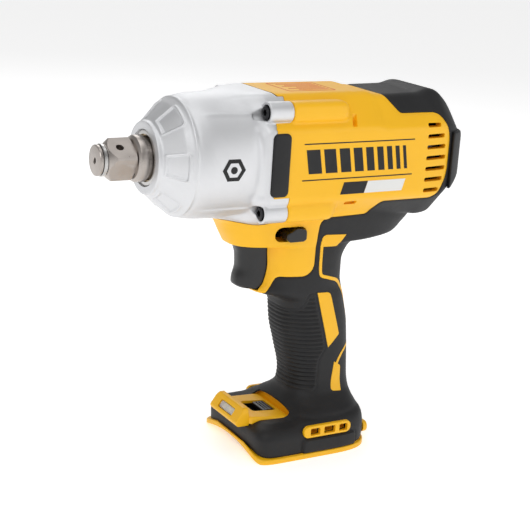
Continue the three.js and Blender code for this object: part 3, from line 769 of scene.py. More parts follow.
class Finish(NodeTree):
    """A material with its shader and the few textures that all finishes use."""

    def __init__(self, name):
        self.material = bpy.data.materials.new(name)
        super().__init__(self.material)
        self.shader = self.tree.nodes.new("ShaderNodeBsdfPrincipled")
        output = self.tree.nodes.new("ShaderNodeOutputMaterial")
        self.tree.links.new(self.shader.outputs[0], output.inputs[0])
        self.place = self.node("ShaderNodeTexCoord", output="Object")

    def set(self, **sockets):
        """Sets shader sockets; a name's underscores stand for spaces."""
        for key, value in sockets.items():
            self._feed(self.shader.inputs[key.replace("_", " ")], value)
        return self

    def stretched(self, x, y, z):
        """The place on the piece with each axis scaled."""
        return self.node("ShaderNodeVectorMath", {"operation": "MULTIPLY"}, {0: self.place, 1: (x, y, z)})

    def noise(self, scale, detail=3.0, place=None):
        inputs = {"Vector": place or self.place, "Scale": scale, "Detail": detail}
        return self.node("ShaderNodeTexNoise", None, inputs, "Fac")

    def spots(self, scale, place=None):
        inputs = {"Vector": place or self.place, "Scale": scale}
        return self.node("ShaderNodeTexVoronoi", None, inputs, "Distance")

    def blend(self, factor, first, second):
        inputs = {0: factor, 6: first, 7: second}
        return self.node("ShaderNodeMix", {"data_type": "RGBA"}, inputs, 2)

    def bump(self, height, depth, strength=1.0):
        inputs = {"Height": height, "Distance": depth * MM, "Strength": strength}
        return self.node("ShaderNodeBump", None, inputs)


def shade(colour, factor):
    """A colour made lighter or darker."""
    return tuple(min(c * factor, 1) for c in colour[:3]) + (1,)


def moulded(name, colour, roughness, grain=0.03, coat=0.0):
    """Moulded plastic with a fine spark-eroded texture."""
    finish = Finish(name)
    mottle = finish.noise(28)
    grains = finish.noise(2600, 2) + 0.4 * finish.spots(1500)
    wear = finish.ramp(finish.noise(160, 5), (0.42, 0), (0.75, 1))
    finish.set(
        Base_Color=finish.blend(mottle, shade(colour, 0.94), shade(colour, 1.05)),
        Roughness=roughness + 0.08 * wear,
        Normal=finish.bump(grains, grain),
        Coat_Weight=coat,
        Coat_Roughness=0.3,
    )
    return finish.material


def rubber(name, colour, roughness):
    """Soft overmoulded rubber: matt, with a dusty grain."""
    finish = Finish(name)
    dust = finish.ramp(finish.noise(55, 6), (0.4, 0), (0.7, 1))
    grains = finish.noise(1900, 3) + 0.7 * finish.spots(1100)
    finish.set(
        Base_Color=finish.blend(dust, shade(colour, 0.9), shade(colour, 1.16)),
        Roughness=roughness + 0.1 * finish.noise(300),
        Normal=finish.bump(grains, 0.05),
        Specular_IOR_Level=0.4,
    )
    return finish.material


def cast(name, colour, roughness):
    """Bead-blasted die casting: bright, with a fine even grain and slow tone changes."""
    finish = Finish(name)
    flow = finish.noise(35, 4)
    grains = finish.spots(1300) + finish.noise(2400, 2)
    finish.set(
        Base_Color=finish.blend(flow, shade(colour, 0.93), shade(colour, 1.04)),
        Metallic=1,
        Roughness=roughness + 0.1 * finish.noise(420),
        Normal=finish.bump(grains, 0.035),
    )
    return finish.material


def machined(name, colour, roughness, marks=0.02, tint=None):
    """Turned and ground metal, with fine tool marks across the axis."""
    finish = Finish(name)
    lines = finish.noise(1, 2, finish.stretched(5200, 260, 260))
    smudge = finish.ramp(finish.noise(95, 5), (0.35, 0), (0.7, 1))
    finish.set(
        Base_Color=finish.blend(smudge, shade(colour, 0.9), tint or shade(colour, 1.08)),
        Metallic=1,
        Roughness=roughness + 0.14 * smudge,
        Normal=finish.bump(lines, marks),
    )
    return finish.material


def sprung(name, colour):
    """Blackened steel with an oily bloom."""
    finish = Finish(name)
    bloom = finish.noise(120, 5)
    finish.set(
        Base_Color=finish.blend(bloom, shade(colour, 0.7), shade(colour, 1.3)),
        Metallic=0.9,
        Roughness=0.32 + 0.2 * bloom,
        Normal=finish.bump(finish.noise(1500, 3), 0.015),
    )
    return finish.material


def wound(name, colour):
    """Enamelled winding wire, lying in fine rows."""
    finish = Finish(name)
    rows = finish.noise(1, 1, finish.stretched(120, 1900, 1900))
    finish.set(
        Base_Color=finish.blend(rows, shade(colour, 0.6), shade(colour, 1.15)),
        Metallic=0.85,
        Roughness=0.3 + 0.25 * rows,
        Normal=finish.bump(rows, 0.12),
    )
    return finish.material


def etched(name, colour):
    """A circuit board: tracks under a green lacquer."""
    finish = Finish(name)
    tracks = finish.ramp(finish.noise(1, 1, finish.stretched(500, 900, 900)), (0.48, 0), (0.52, 1))
    finish.set(
        Base_Color=finish.blend(tracks, shade(colour, 0.7), shade(colour, 1.5)),
        Roughness=0.35 + 0.1 * tracks,
        Normal=finish.bump(tracks, 0.03),
    )
    return finish.material


def clear(name, colour):
    """A clear lens with a faintly dimpled face."""
    finish = Finish(name)
    finish.set(
        Base_Color=finish.blend(finish.noise(60), shade(colour, 0.96), shade(colour, 1.0)),
        Roughness=0.06 + 0.08 * finish.noise(500),
        Transmission_Weight=0.55,
        IOR=1.49,
        Normal=finish.bump(finish.spots(620), 0.12),
    )
    return finish.material


def lit(name, colour):
    """The face of a light-emitting chip."""
    finish = Finish(name)
    glow = finish.noise(900, 2)
    finish.set(
        Base_Color=finish.blend(glow, shade(colour, 0.9), shade(colour, 1.1)),
        Roughness=0.3 + 0.1 * glow,
        Emission_Color=finish.blend(glow, shade(colour, 0.9), shade(colour, 1.0)),
        Emission_Strength=0.35,
    )
    return finish.material


# Each finish: the record's slot, how it is made, its colour's name in the panel, and numbers.
FINISHES = {
    "yellow": ("yellow_plastic", moulded, "yellow", (0.4, 0.025)),
    "rubber": ("rubber_overmould", rubber, "rubber", (0.52,)),
    "soft_black": ("rubber_overmould", rubber, "pads", (0.46,)),
    "aluminium": ("cast_aluminium", cast, "aluminium", (0.5,)),
    "drive": ("drive_steel", machined, "steel", (0.27,)),
    "bearing": ("drive_steel", machined, "bright_steel", (0.22,)),
    "dark_steel": ("dark_steel", sprung, "dark_steel", ()),
    "bronze": ("bronze", machined, "bronze", (0.3,)),
    "copper": ("copper_winding", wound, "copper", ()),
    "black": ("black_plastic", moulded, "black", (0.3, 0.015, 0.1)),
    "print": ("black_plastic", moulded, "ink", (0.55, 0.006)),
    "warning": ("black_plastic", moulded, "warning", (0.5, 0.006)),
    "label": ("lamp_lens", moulded, "label", (0.4, 0.006)),
    "board": ("circuit_board", etched, "board", ()),
    "lens": ("lamp_lens", clear, "lens", ()),
    "chip": ("lamp_lens", lit, "chip", ()),
    "screw": ("black_screw", sprung, "screw", ()),
}


@functools.cache
def finish_named(name):
    _, make, colour, numbers = FINISHES[name]
    return make(name, tuple(getattr(colours(), colour)) + (1,), *numbers)


# ------------------------------------------------------------------ settings in the panel


def length(name, description, default):
    return bpy.props.FloatProperty(name=name, description=description, default=default, min=0.05)


def colour(name, description, default):
    return bpy.props.FloatVectorProperty(
        name=name, description=description, default=default, subtype="COLOR", size=3, min=0, max=1)


class WrenchSizes(bpy.types.PropertyGroup):
    body_grain: length("Body grain", "Size of the body's mesh, in millimetres", 0.75)
    fine_grain: length("Fine grain", "Size of the small pieces' mesh, in millimetres", 0.4)
    rib_pitch: length("Rib pitch", "Distance between the ribs of the grip, in millimetres", 2.9)
    rib_depth: length("Rib depth", "Depth between the ribs of the grip, in millimetres", 0.75)
    groove_depth: length("Groove depth", "Depth of the grooves by the rubber, in millimetres", 0.55)
    drive_turn: bpy.props.FloatProperty(
        name="Drive turn", description="How far the square drive is turned at rest", subtype="ANGLE",
        default=math.radians(57.5))


class WrenchColours(bpy.types.PropertyGroup):
    yellow: colour("Yellow", "Casings, lamp and trims", (1.0, 0.515, 0.003))
    rubber: colour("Rubber", "Overmoulded grip", (0.0105, 0.0105, 0.0115))
    pads: colour("Pads", "Side pads, rear guard and nose seal", (0.009, 0.009, 0.010))
    aluminium: colour("Aluminium", "Hammer case", (0.74, 0.745, 0.76))
    steel: colour("Drive steel", "Square drive", (0.46, 0.42, 0.39))
    bright_steel: colour("Bright steel", "Bearings, pins and gears", (0.56, 0.55, 0.54))
    dark_steel: colour("Dark steel", "Hammer, carrier and springs", (0.16, 0.155, 0.16))
    bronze: colour("Bronze", "Nose bushing", (0.62, 0.50, 0.33))
    copper: colour("Copper", "Motor windings", (0.55, 0.22, 0.09))
    black: colour("Black", "Trigger, selector and inner mouldings", (0.0045, 0.0045, 0.005))
    ink: colour("Ink", "Printed bars and label", (0.003, 0.003, 0.0035))
    warning: colour("Warning ink", "Printed frame on the top", (0.75, 0.13, 0.03))
    label: colour("Label", "Light half of the side label", (0.80, 0.80, 0.78))
    board: colour("Board", "Lamp's circuit board", (0.02, 0.11, 0.05))
    lens: colour("Lens", "Lamp lens", (0.93, 0.94, 0.95))
    chip: colour("Chip", "Lamp chips", (0.95, 0.78, 0.30))
    screw: colour("Screws", "Black screws", (0.035, 0.035, 0.038))


class WrenchStudio(bpy.types.PropertyGroup):
    azimuth: bpy.props.FloatProperty(
        name="Azimuth", description="Camera's bearing round the wrench, from +Y towards +X",
        subtype="ANGLE", default=math.radians(30.59))
    elevation: bpy.props.FloatProperty(
        name="Elevation", description="Camera's height angle", subtype="ANGLE", default=math.radians(16.19))
    roll: bpy.props.FloatProperty(
        name="Roll", description="Camera's turn about its own line of sight", subtype="ANGLE",
        default=math.radians(3.66))
    distance: bpy.props.FloatProperty(
        name="Distance", description="From the camera to the middle of the wrench", unit="LENGTH",
        default=0.84)
    lens: bpy.props.FloatProperty(name="Lens", description="Focal length in millimetres", default=89.2)
    floor: colour("Floor", "Floor colour", (0.9, 0.9, 0.9))
    light: bpy.props.FloatProperty(name="Light", description="Strength of all lamps together", default=1.0)


def settings():
    return bpy.context.scene.wrench_sizes


def colours():
    return bpy.context.scene.wrench_colours


# ------------------------------------------------------------------ casings and grip


def grooved(form):
    """Sinks a rounded groove into the body along the border of the rubber."""
    points = form.points()
    border = inside_depth(rubber_border(), points[:, 0], points[:, 2])
    depth = settings().groove_depth * np.exp(-(border / 0.85) ** 2)
    return form.swell(-depth)


@functools.cache
def grooved_skin():
    return grooved(body_skin().copy())


def arch_height(x, y):
    """How far the foot's front edge is lifted off the ground."""
    return 6.6 * np.clip(1 - (y / 37) ** 2, 0, 1) * smooth_step((x - 9) / 8)


def foot_rim():
    """The yellow band round the bottom of the foot, which follows the arch at the front."""
    u, v = oval(44.5, 40, 10, 176, 3.9)
    rim = pillow(np.stack([u - 20.5, v], axis=1), 0, 3.2, "z", 0.7)
    rim.cut(prism(box_outline((-58, 17.5), (-33.5, 33.5), 3), -1, 5, "z"))
    points = rim.points()
    points[:, 2] += arch_height(points[:, 0], points[:, 1])
    return rim.move_to(points)


def side_notches():
    """A slanted slot on the shoulder and a slit on the lower slope, on both sides."""
    slot = [(-28.2, 215), (-31.4, 215), (-33.8, 222.4), (-30.6, 222.4)]
    slit = box_outline((-37, -28), (165.8, 168.2), 1)
    notches = []
    for side in (1, -1):
        depth = sorted((side * 31.9, side * 45))
        notches.append(prism(rounded(slot, 0.7), *depth))
        notches.append(prism(slit, *sorted((side * 31, side * 45))))
    return notches


def make_casings():
    zone = prism(rubber_border(), -60, 60)
    shell = grooved_skin().copy().cut(zone.cut(body_core(RUBBER + GAP)))
    shell.add(foot_rim())
    panel_room = prism(panel_outline(2.2), 20.6, 40, "z")
    shell.cut(inner_space(), panel_room, *outer_cuts(), *side_notches(), *accent_forms(0.25))
    for name, side in SIDES:
        shell.copy().keep(half_space(side)).piece(f"{name}_casing", "yellow", replaces=[f"{name}_housing"])
    shell.discard()


def ribbed(form):
    """Presses horizontal ribs into the front of the handle and raises the pad on the foot."""
    points = form.points()
    x, y, z = points.T
    panel = inside_depth(np.array(rounded(GRIP_PANEL)), x, z)
    wave = 0.5 - 0.5 * np.cos(2 * math.pi * (z - 37.2) / settings().rib_pitch)
    ribs = settings().rib_depth * smooth_step((panel - 0.8) / 1.6) * (1 - wave) ** 1.6
    edge = 0.45 * np.exp(-(panel / 0.7) ** 2)
    pad = inside_depth(np.array(box_outline((-49.5, -9.3), (-4, 12.3), 2.5)), x, z)
    groove = 0.5 * np.exp(-((pad + 1.1) / 0.8) ** 2)
    raised = (1.2 * smooth_step(pad / 0.9 + 0.5) - groove) * (np.abs(y) > 30)
    return form.swell(raised - np.maximum(ribs, edge))


@functools.cache
def ribbed_skin():
    form = grooved_skin().copy()
    x, _, z = form.points().T
    panel = inside_depth(np.array(rounded(GRIP_PANEL)), x, z)
    return ribbed(form.refine(panel > -1.5))


ACCENTS = {
    "upper": rounded([(-21.3, 144.2, 3), (-39.2, 143.2, 0), (-34, 135.4, 1.5), (-21.8, 136, 0)]),
    "middle": rounded([(-22.9, 104.9, 0), (-33, 104.2, 3.5), (-42.9, 74.5, 1.5), (-34.7, 66.3, 0)]),
    "lower": rounded([(-40.6, 55.4, 0), (-46.2, 52, 2), (-46.6, 35.2, 0.6), (-38.4, 36.2, 2)]),
}


def accent_lines():
    """The thin yellow lines that run on from the upper and lower bars."""
    down = [
        (-22.3, 140), (-23, 122), (-24.2, 116.8), (-30.9, 114.2),
        (-38.2, 111.4), (-43.8, 105.6), (-49, 95), (-55.6, 74),
    ]
    hook = [(-58.5, 67), (-54, 65.4), (-49, 62.4), (-45, 58), (-42.4, 53)]
    curves = []
    for path in (down, hook):
        ways = np.array([row[1:] for row in eased([(i,) + p for i, p in enumerate(path)], 4)])
        curves.append(ways)
    return [ribbon(curves[0], 2.1), ribbon(curves[1], 1.8)]


def accent_outlines():
    down, hook = accent_lines()
    return [[ACCENTS["upper"], down], [ACCENTS["middle"]], [ACCENTS["lower"], hook]]


def accent_form(outlines, margin, side):
    """The prism of one yellow bar, on one side of the handle."""
    depth = sorted((side * 4, side * 40))
    parts = [prism(offset(outline, margin), *depth) for outline in outlines]
    return parts[0].add(*parts[1:]) if len(parts) > 1 else parts[0]


def accent_forms(margin):
    return [accent_form(outlines, margin, side) for outlines in accent_outlines() for _, side in SIDES]


def make_grips():
    zone = prism(offset(rubber_border(), -GAP), -60, 60)
    skin = ribbed_skin().copy().keep(zone).cut(body_core(RUBBER))
    skin.cut(*outer_cuts(), *accent_forms(0.2), foot_rim())
    for name, side in SIDES:
        skin.copy().keep(half_space(side)).piece(f"{name}_grip", "rubber", replaces=[f"{name}_overmould"])
    skin.discard()


def make_accents():
    skin = body_skin().copy().swell(0.1).cut(body_core(RUBBER - 0.1))
    for i, outlines in enumerate(accent_outlines()):
        for name, side in SIDES:
            bar = skin.copy().keep(accent_form(outlines, 0, side))
            bar.piece(f"{name}_grip_inlay_{i + 1}", "yellow")
    skin.discard()


def make_rear_guard():
    low, high = (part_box("rear_bumper")[k] / MM for k in (0, 1))
    guard = barrel_form(-2.4).keep(block((low.x, high.x), (-60, 60), (low.z, high.z)))
    guard.soften(settings().fine_grain * 1.3, 10)
    guard.cut(barrel_form(-GAP)).piece("rear_guard", "soft_black", replaces=["rear_bumper"])
    ring([(-102, 28.9), (-79.6, 28.9)], 28.2).piece("fan_shroud", "black")


# ------------------------------------------------------------------ nose


def case_outside():
    """The hammer case before its bores, with bosses, bead and rooms for the bolt heads."""
    form = case_form()
    bosses = [rod((CASE_REAR, BOLT_HEAD_X - 0.8), 6.5, bolt.y, bolt.z) for bolt in CASE_BOLTS]
    bead = turned([(73.4, 34), (74, 36.3), (74.8, 36.4), (75.6, 35.9), (76.2, 34)])
    rooms = [rod((BOLT_HEAD_X - 4.2, 37), 4.7, bolt.y, bolt.z) for bolt in CASE_BOLTS]
    return form.add(*bosses, bead).cut(*rooms)


def cone_pockets(x, y, z):
    """The height of the six shallow pockets, with raised rims, round the case's cone."""
    bearing = np.degrees(np.arctan2(z - AXIS_Z, y))
    across = np.radians((bearing + 30) % 60 - 30) * np.hypot(y, z - AXIS_Z)
    pocket = np.array(rounded([(78.6, -8.7, 1.5), (89.2, -6, 1), (89.2, 6, 1), (78.6, 8.7, 1.5)]))
    depth = inside_depth(pocket, x, across)
    return 0.5 * np.exp(-((depth + 0.2) / 0.6) ** 2) - 0.75 * smooth_step((depth - 0.3) / 0.9)


def sculpted(form):
    """Raises the long ribs of the case and sinks the valleys before the side pads and the pockets."""
    start = form.points()[:, 0]
    form.refine((start > 76.5) & (start < 91))
    x, y, z = form.points().T
    height = np.abs(z - AXIS_Z - 0.5)
    along = smooth_step((x - 33) / 6) * smooth_step((70 - x) / 8)
    rib = 0.55 * np.exp(-((height - 28.5) / 0.9) ** 2) * along
    valley = 1.2 * np.exp(-((x - 33.5) / 3.4) ** 2) * smooth_step((24 - height) / 5) * (np.abs(y) > 25)
    return form.swell(rib - valley + cone_pockets(x, y, z))


def make_nose_case():
    form = sculpted(case_outside().soften(0.55, 4))
    pads = [prism(box_outline((15, 27.3), (174.2, 213.3), 3.7), *y) for y in ((36.1, 50), (-50, -36.1))]
    rooms = [rod((BOLT_HEAD_X - 4.2, 31), 4.2, bolt.y, bolt.z) for bolt in CASE_BOLTS]
    holes = [rod((0, 31), 2.6, bolt.y, bolt.z, 24) for bolt in CASE_BOLTS]
    profile = [(5, 33.4), (64, 33.4), (72, 27.4), (72.01, 16.7), (92.2, 16.7), (92.9, 17.2), (100, 17.4)]
    form.cut(brow_room(), turned(profile), *pads, *rooms, *holes)
    form.piece("nose_case", "aluminium", replaces=["hammer_case"], sharp=32)


def brow_room():
    """The case's room for the brow of the housing, with a gap around it."""
    outline = [(8, 250), (8, 227.6), (13.2, 229.2), (17.4, 231.5), (21.4, 235.5), (24.6, 239), (24.6, 250)]
    return prism(outline, -22.9, 22.9)


def make_side_pads():
    outline = box_outline((15.3, 27), (174.5, 213), 3.4)
    for name, side in SIDES:
        pad = pillow(outline, 36.4, 39.6, "y", 1.1)
        if side < 0:
            pad.mirror(1, -1)
        pad.piece(f"{name}_case_pad", "soft_black", replaces=[f"{name}_side_pad"])


def make_case_bolts():
    for i, bolt in enumerate(CASE_BOLTS):
        head = turned(
            [(BOLT_HEAD_X - 4.1, 3.9), (BOLT_HEAD_X - 0.6, 4), (BOLT_HEAD_X - 0.1, 3.6), (BOLT_HEAD_X, 3)],
            bolt.y, bolt.z, 48)
        socket = rod((BOLT_HEAD_X - 2.4, BOLT_HEAD_X + 1), 2.1, bolt.y, bolt.z, 6)
        shank = rod((-6, BOLT_HEAD_X - 3), 2.2, bolt.y, bolt.z, 24)
        head.add(shank).cut(socket)
        head.piece(f"case_bolt_{i + 1}", "screw", replaces=[f"case_screw_{i + 1}"])


def make_housing_screws():
    for i, screw in enumerate(HOUSING_SCREWS):
        node = f"housing_screw_{i + 1}"
        low, high = (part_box(node)[k] / MM for k in (0, 1))
        head = cross_rod(screw.x, screw.z, (low.y, low.y + 2.6), 3, 40)
        shank = cross_rod(screw.x, screw.z, (low.y + 2, high.y), 1.5, 20)
        socket = cross_rod(screw.x, screw.z, (low.y - 1, low.y + 1.5), 1.1, 6)
        head.add(shank).cut(socket).piece(f"casing_screw_{i + 1}", "screw", replaces=[node])


def make_nose_rings():
    bushing = ring([(72.4, 15.8), (72.9, 16.4), (90.2, 16.4), (91, 15.8)], 13.35)
    bushing.piece("drive_bushing", "bronze", replaces=["nose_bushing"])
    seal = ring([(91.3, 16.2), (91.6, 16.4), (92.4, 16.4), (92.6, 16.1)], 14.3)
    seal.piece("drive_seal", "bearing", replaces=["nose_seal"])


def make_drive():
    half = DRIVE_SQUARE / 2
    turn = Matrix.Translation((0, 0, AXIS_Z * MM)) @ Matrix.Rotation(settings().drive_turn, 4, "X")
    square = prism(box_outline((-half, half), (-half, half), 0.5), 94.5, 118.5, "x").turn(turn)
    corners = turned([(94, 9.8), (101.5, 9.8), (102.3, 12.6), (114.6, 12.6), (118.4, 9), (118.5, 8)])
    square.keep(corners)
    spindle = turned([
        (62, 16), (70, 16), (70.01, 13), (94.4, 13), (94.7, 13.8), (95.1, 14), (99.2, 14), (100, 13.7),
        (101.2, 12.2), (101.21, 7.6), (116, 7.6), (116.01, 9.2), (118.6, 9.2), (118.61, 7.6), (121.7, 7.6),
        (121.71, 9), (122, 9.2), (123.3, 9.2), (123.8, 8.9), (124, 8.4),
    ])
    ears = []
    for middle_angle in (0, math.pi):
        angles = middle_angle + np.radians(np.linspace(-25, 25, 9))
        outline = [(26 * math.cos(a), AXIS_Z + 26 * math.sin(a)) for a in angles]
        outline += [(15 * math.cos(a), AXIS_Z + 15 * math.sin(a)) for a in angles[::-1]]
        ears.append(prism(outline, 62, 70, "x"))
    hole = drive_pin(2.4).turn(turn)
    centre = turned([(119, 0.6), (120.4, 1.7), (123.5, 1.7), (125, 3.2)], segments=40)
    pilot = rod((60, 69.6), 5.9)
    drive = spindle.add(square, *ears).cut(hole, centre, pilot)
    drive.piece("square_drive", "drive", "anvil", ["anvil"], sharp=28)
    split = block((118, 122), (-20, 0), (AXIS_Z - 1.2, AXIS_Z + 1.2))
    circlip = ring([(119, 9.3), (119.4, 9.7), (120.9, 9.7), (121.3, 9.3)], 7.95).cut(split)
    circlip.piece("socket_ring", "bearing", "anvil", ["friction_ring"])


def drive_pin(radius):
    """What the drive's cross hole takes away, drawn about the drive axis."""
    return cross_rod(DRIVE_PIN_X, 0, (-15, 15), radius, 32)


# ------------------------------------------------------------------ switches


def make_trigger():
    rows = [(107.8, 21), (108.6, 25.6), (111, 28.4), (114, 28.3), (122, 26.4), (130, 27), (136.3, 29.4)]
    back = 8
    rings = []
    for z, front in eased(rows, 4):
        u, v = oval(front - back, 10, 2.7, 64)
        rings.append([(back + x, y, z) for x, y in zip(u, v)])
    blade = loft(rings).keep(block((back, 40), (-12, 12), (100, 140)))
    blade.soften(settings().fine_grain * 1.2, 10)
    stem = rod((-6, 9), 2, 0, 122, 24)
    blade.add(stem).piece("trigger_blade", "black", "trigger", ["trigger"])


def make_selector():
    outline = [
        (-8, 143.4), (-6, 141.9), (4, 141.9), (6.4, 144), (6.2, 147.6),
        (3, 148.8), (0.5, 150.4), (-4.4, 150.4), (-7.6, 149),
    ]
    grain = settings().fine_grain
    ends = [prism(rounded(outline, 1.4), *y).soften(grain, 8) for y in ((-27, -17), (17, 27))]
    bar = block((-5, 3), (-18, 18), (143.5, 149))
    curtain = block((-9.6, 12.8), (-0.5, 0.5), (140.6, 151.8))
    bar.add(curtain, *ends).piece("selector_button", "black", "selector", ["selector_lever"])


# ------------------------------------------------------------------ foot


def sloped(form):
    """Lowers the rear of a flat piece on the foot."""
    points = form.points()
    points[:, 2] -= SHIELD_SLOPE * (SHIELD_FRONT - points[:, 0])
    return form.move_to(points)


def make_foot_trims():
    window = box_outline((-5, 12.6), (-9, 9), 2)
    shield = sloped(pillow(panel_outline(), 20.5, 25.2, "z", 1.2).cut(prism(window, 18, 40, "z")))
    shield.piece("foot_shield", "yellow", replaces=["foot_panel"])
    tray = pillow(offset(window, -0.1), 20.22, 23.6, "z", 0.3)
    tray.cut(prism(offset(window, -1.0), 20.42, 30, "z"))
    sloped(tray).piece("knob_tray", "black")
    low, high = (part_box("lamp_slider")[k] / MM for k in (0, 1))
    slider = block((low.x, high.x), (low.y, high.y), (low.z, 23.4)).soften(settings().fine_grain, 6)
    grooves = [block((x - 0.35, x + 0.35), (-6, 6), (22.7, 25)) for x in (-2, 0, 2)]
    slider.cut(*grooves).piece("lamp_switch_knob", "black", "lamp_switch", ["lamp_slider"])
    for name, side in SIDES:
        bezel = pillow(bezel_outline(), 37, 39.4, "y", 0.7)
        if side < 0:
            bezel.mirror(1, -1)
        windows = [prism(box_outline((x - half, x + half), (15.2, 20), 0.8), -50, 50) for x, half in SLOTS]
        bezel.cut(*windows).piece(f"{name}_slot_trim", "yellow", replaces=[f"{name}_slot_bezel"])
    outline = box_outline((-27, 27), (4.4, 12), 3.4)
    rear = pillow(outline, 63, 66.4, "x", 0.8).mirror(-1, 1)
    rear.piece("rear_trim", "yellow", replaces=["rear_bezel"])


def lamp_matrix():
    """From a lamp piece drawn flat, facing +X, to its place in the leaning face of the pod."""
    place = Matrix.Translation(Vector((26.9, 0, 25.5)) * MM)
    return place @ Matrix.Rotation(math.radians(-32.5), 4, "Y")


def make_lamp():
    lean = lamp_matrix()
    room = prism(box_outline((-9.3, 9.3), (-2.7, 2.7), 1), -4.7, 6, "x").turn(lean)
    face = prism(box_outline((-17.8, 17.8), (16, 31.4), 4), 10, 40, "x")
    pod = prism(pod_outline(), -17.8, 17.8).keep(face).soften(settings().fine_grain, 6)
    pod.cut(room).piece("lamp_hood", "yellow", replaces=["lamp_pod"])
    lens = pillow(box_outline((-9, 9), (-2.4, 2.4), 0.9), -1, 0, "x", 0.4).turn(lean)
    lens.piece("lamp_window", "lens", replaces=["lamp_lens"])
    board = prism(box_outline((-8.4, 8.4), (-2.4, 2.4), 0.5), -4.3, -3.1, "x").turn(lean)
    board.piece("lamp_circuit", "board", replaces=["lamp_board"])
    for i, y in enumerate((-5.4, 0, 5.4)):
        chip = pillow(box_outline((y - 1.5, y + 1.5), (-1.5, 1.5), 0.3), -3.05, -2.3, "x", 0.2).turn(lean)
        chip.piece(f"lamp_chip_{i + 1}", "chip")


# ------------------------------------------------------------------ printed marks


def slanted(x, width, z, lean=2.6):
    """A bar that leans, from its lower left corner."""
    return [(x, z[0]), (x + width, z[0]), (x + width + lean, z[1]), (x + lean, z[1])]


def side_marks():
    """Plain slanted bars between two lines."""
    lines = [box_outline((-75, 6), z, 0.3) for z in ((205.6, 206.3), (183.4, 184.1))]
    bars = []
    x = 4.2
    for width in (9.5, 8.4, 7.4, 6.4, 5.5, 4.6, 3.8, 3.0, 2.3):
        x -= width
        bars.append(slanted(x - 2.6, width, (187.6, 202.4)))
        x -= 2.7
    return lines + bars


def make_marks():
    skin = grooved_skin().copy().swell(0.12).cut(body_core(0.4))
    side_label = [(-68, 173.6), (-22, 173.6), (-24.4, 181.2), (-70.4, 181.2)]
    light_label = [(-68, 173.6), (-39.5, 173.6), (-41.9, 181.2), (-70.4, 181.2)]
    for name, side in SIDES:
        depth = sorted((side * 30, side * 60))
        shapes = side_marks()
        tool = prism(shapes[0], *depth).add(*[prism(outline, *depth) for outline in shapes[1:]])
        skin.copy().keep(tool).piece(f"{name}_side_bars", "print")
        dark = prism(side_label, *depth).cut(prism(offset(light_label, 0.05), *depth))
        skin.copy().keep(dark).piece(f"{name}_label_dark", "print")
        skin.copy().keep(prism(offset(light_label, -0.1), *depth)).piece(f"{name}_label_light", "label")
    border = prism(box_outline((-29, 5), (-15, 15), 1.5), 220, 250, "z")
    border.cut(prism(box_outline((-28.2, 4.2), (-14.2, 14.2), 1), 219, 251, "z"))
    lengths = ((-10, 26), (-6, 22), (-2, 26), (2, 18), (6, 26), (10, 21))
    rows = [block((-26, -26 + length), (y - 0.7, y + 0.7), (220, 250)) for y, length in lengths]
    skin.keep(border.add(*rows)).piece("top_label_frame", "warning")
    case = case_form(0.06).cut(case_form(-0.3))
    outer, inner = (circle(*CASE_MARK, radius, 6) for radius in (7.6, 4.9))
    for name, side in SIDES:
        depth = sorted((side * 20, side * 60))
        mark = prism(outer, *depth).cut(prism(inner, *sorted((side * 19, side * 61))))
        mark.add(cross_rod(*CASE_MARK, depth, 2.2, 40))
        case.copy().keep(mark).piece(f"{name}_case_mark", "print")
    case.discard()


# ------------------------------------------------------------------ inner pieces, studio

PLANETS = [f"planet_{kind}_{i}" for kind in ("gear", "pin") for i in (1, 2, 3)]
INNER = {
    "dark_steel": ["hammer", "cam_carrier", "ring_gear", "rotor_stack"],
    "bearing": ["cam_ball_1", "cam_ball_2", "carrier_bearing", "front_motor_bearing", "rear_motor_bearing",
                "rotor_shaft", "spring_washer", *PLANETS],
    "aluminium": ["bearing_plate"],
    "copper": ["stator", "terminal_blade_1", "terminal_blade_2"],
    "black": ["fan", "switch_module", "terminal_block", "control_module"],
}


def make_spring(name, node, body):
    """A spring copied from its CAD node and attached to a body."""
    solid = frame["nodes"][node]
    points = [solid.matrix_world @ vertex.co / MM for vertex in solid.data.vertices]
    coil = Form(points, [list(face.vertices) for face in solid.data.polygons])
    spring = coil.piece(name, "dark_steel", body, [node])
    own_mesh(spring)


def make_springs():
    make_spring("hammer_coil", "hammer_spring", "carrier")
    make_spring("trigger_coil", "trigger_spring", "housing")


def finish_inner_pieces():
    for finish, nodes in INNER.items():
        for node in nodes:
            mesh = frame["nodes"][node].data
            mesh.materials.clear()
            mesh.materials.append(finish_named(finish))


def make_floor():
    points = [(x, y, 0) for x in (-30, 30) for y in (-30, 30)]
    mesh = bpy.data.meshes.new("studio_floor")
    mesh.from_pydata(points, [], [(0, 2, 3, 1)])
    floor = bpy.data.objects.new("studio_floor", mesh)
    bpy.context.scene.collection.objects.link(floor)
    finish = Finish("floor")
    tone = tuple(bpy.context.scene.wrench_studio.floor) + (1,)
    finish.set(
        Base_Color=finish.blend(finish.noise(3), shade(tone, 0.995), shade(tone, 1.0)),
        Roughness=0.8 + 0.1 * finish.noise(40),
        Emission_Color=(1, 1, 1, 1),
        Emission_Strength=0.5,
    )
    mesh.materials.append(finish.material)


def make_light(name, place, target, size, power):
    lamp = bpy.data.lights.new(name, "AREA")
    lamp.shape = "DISK"
    lamp.size = size
    lamp.energy = power * bpy.context.scene.wrench_studio.light
    holder = bpy.data.objects.new(name, lamp)
    bpy.context.scene.collection.objects.link(holder)
    holder.location = place
    holder.rotation_euler = (Vector(target) - Vector(place)).to_track_quat("-Z", "Y").to_euler()


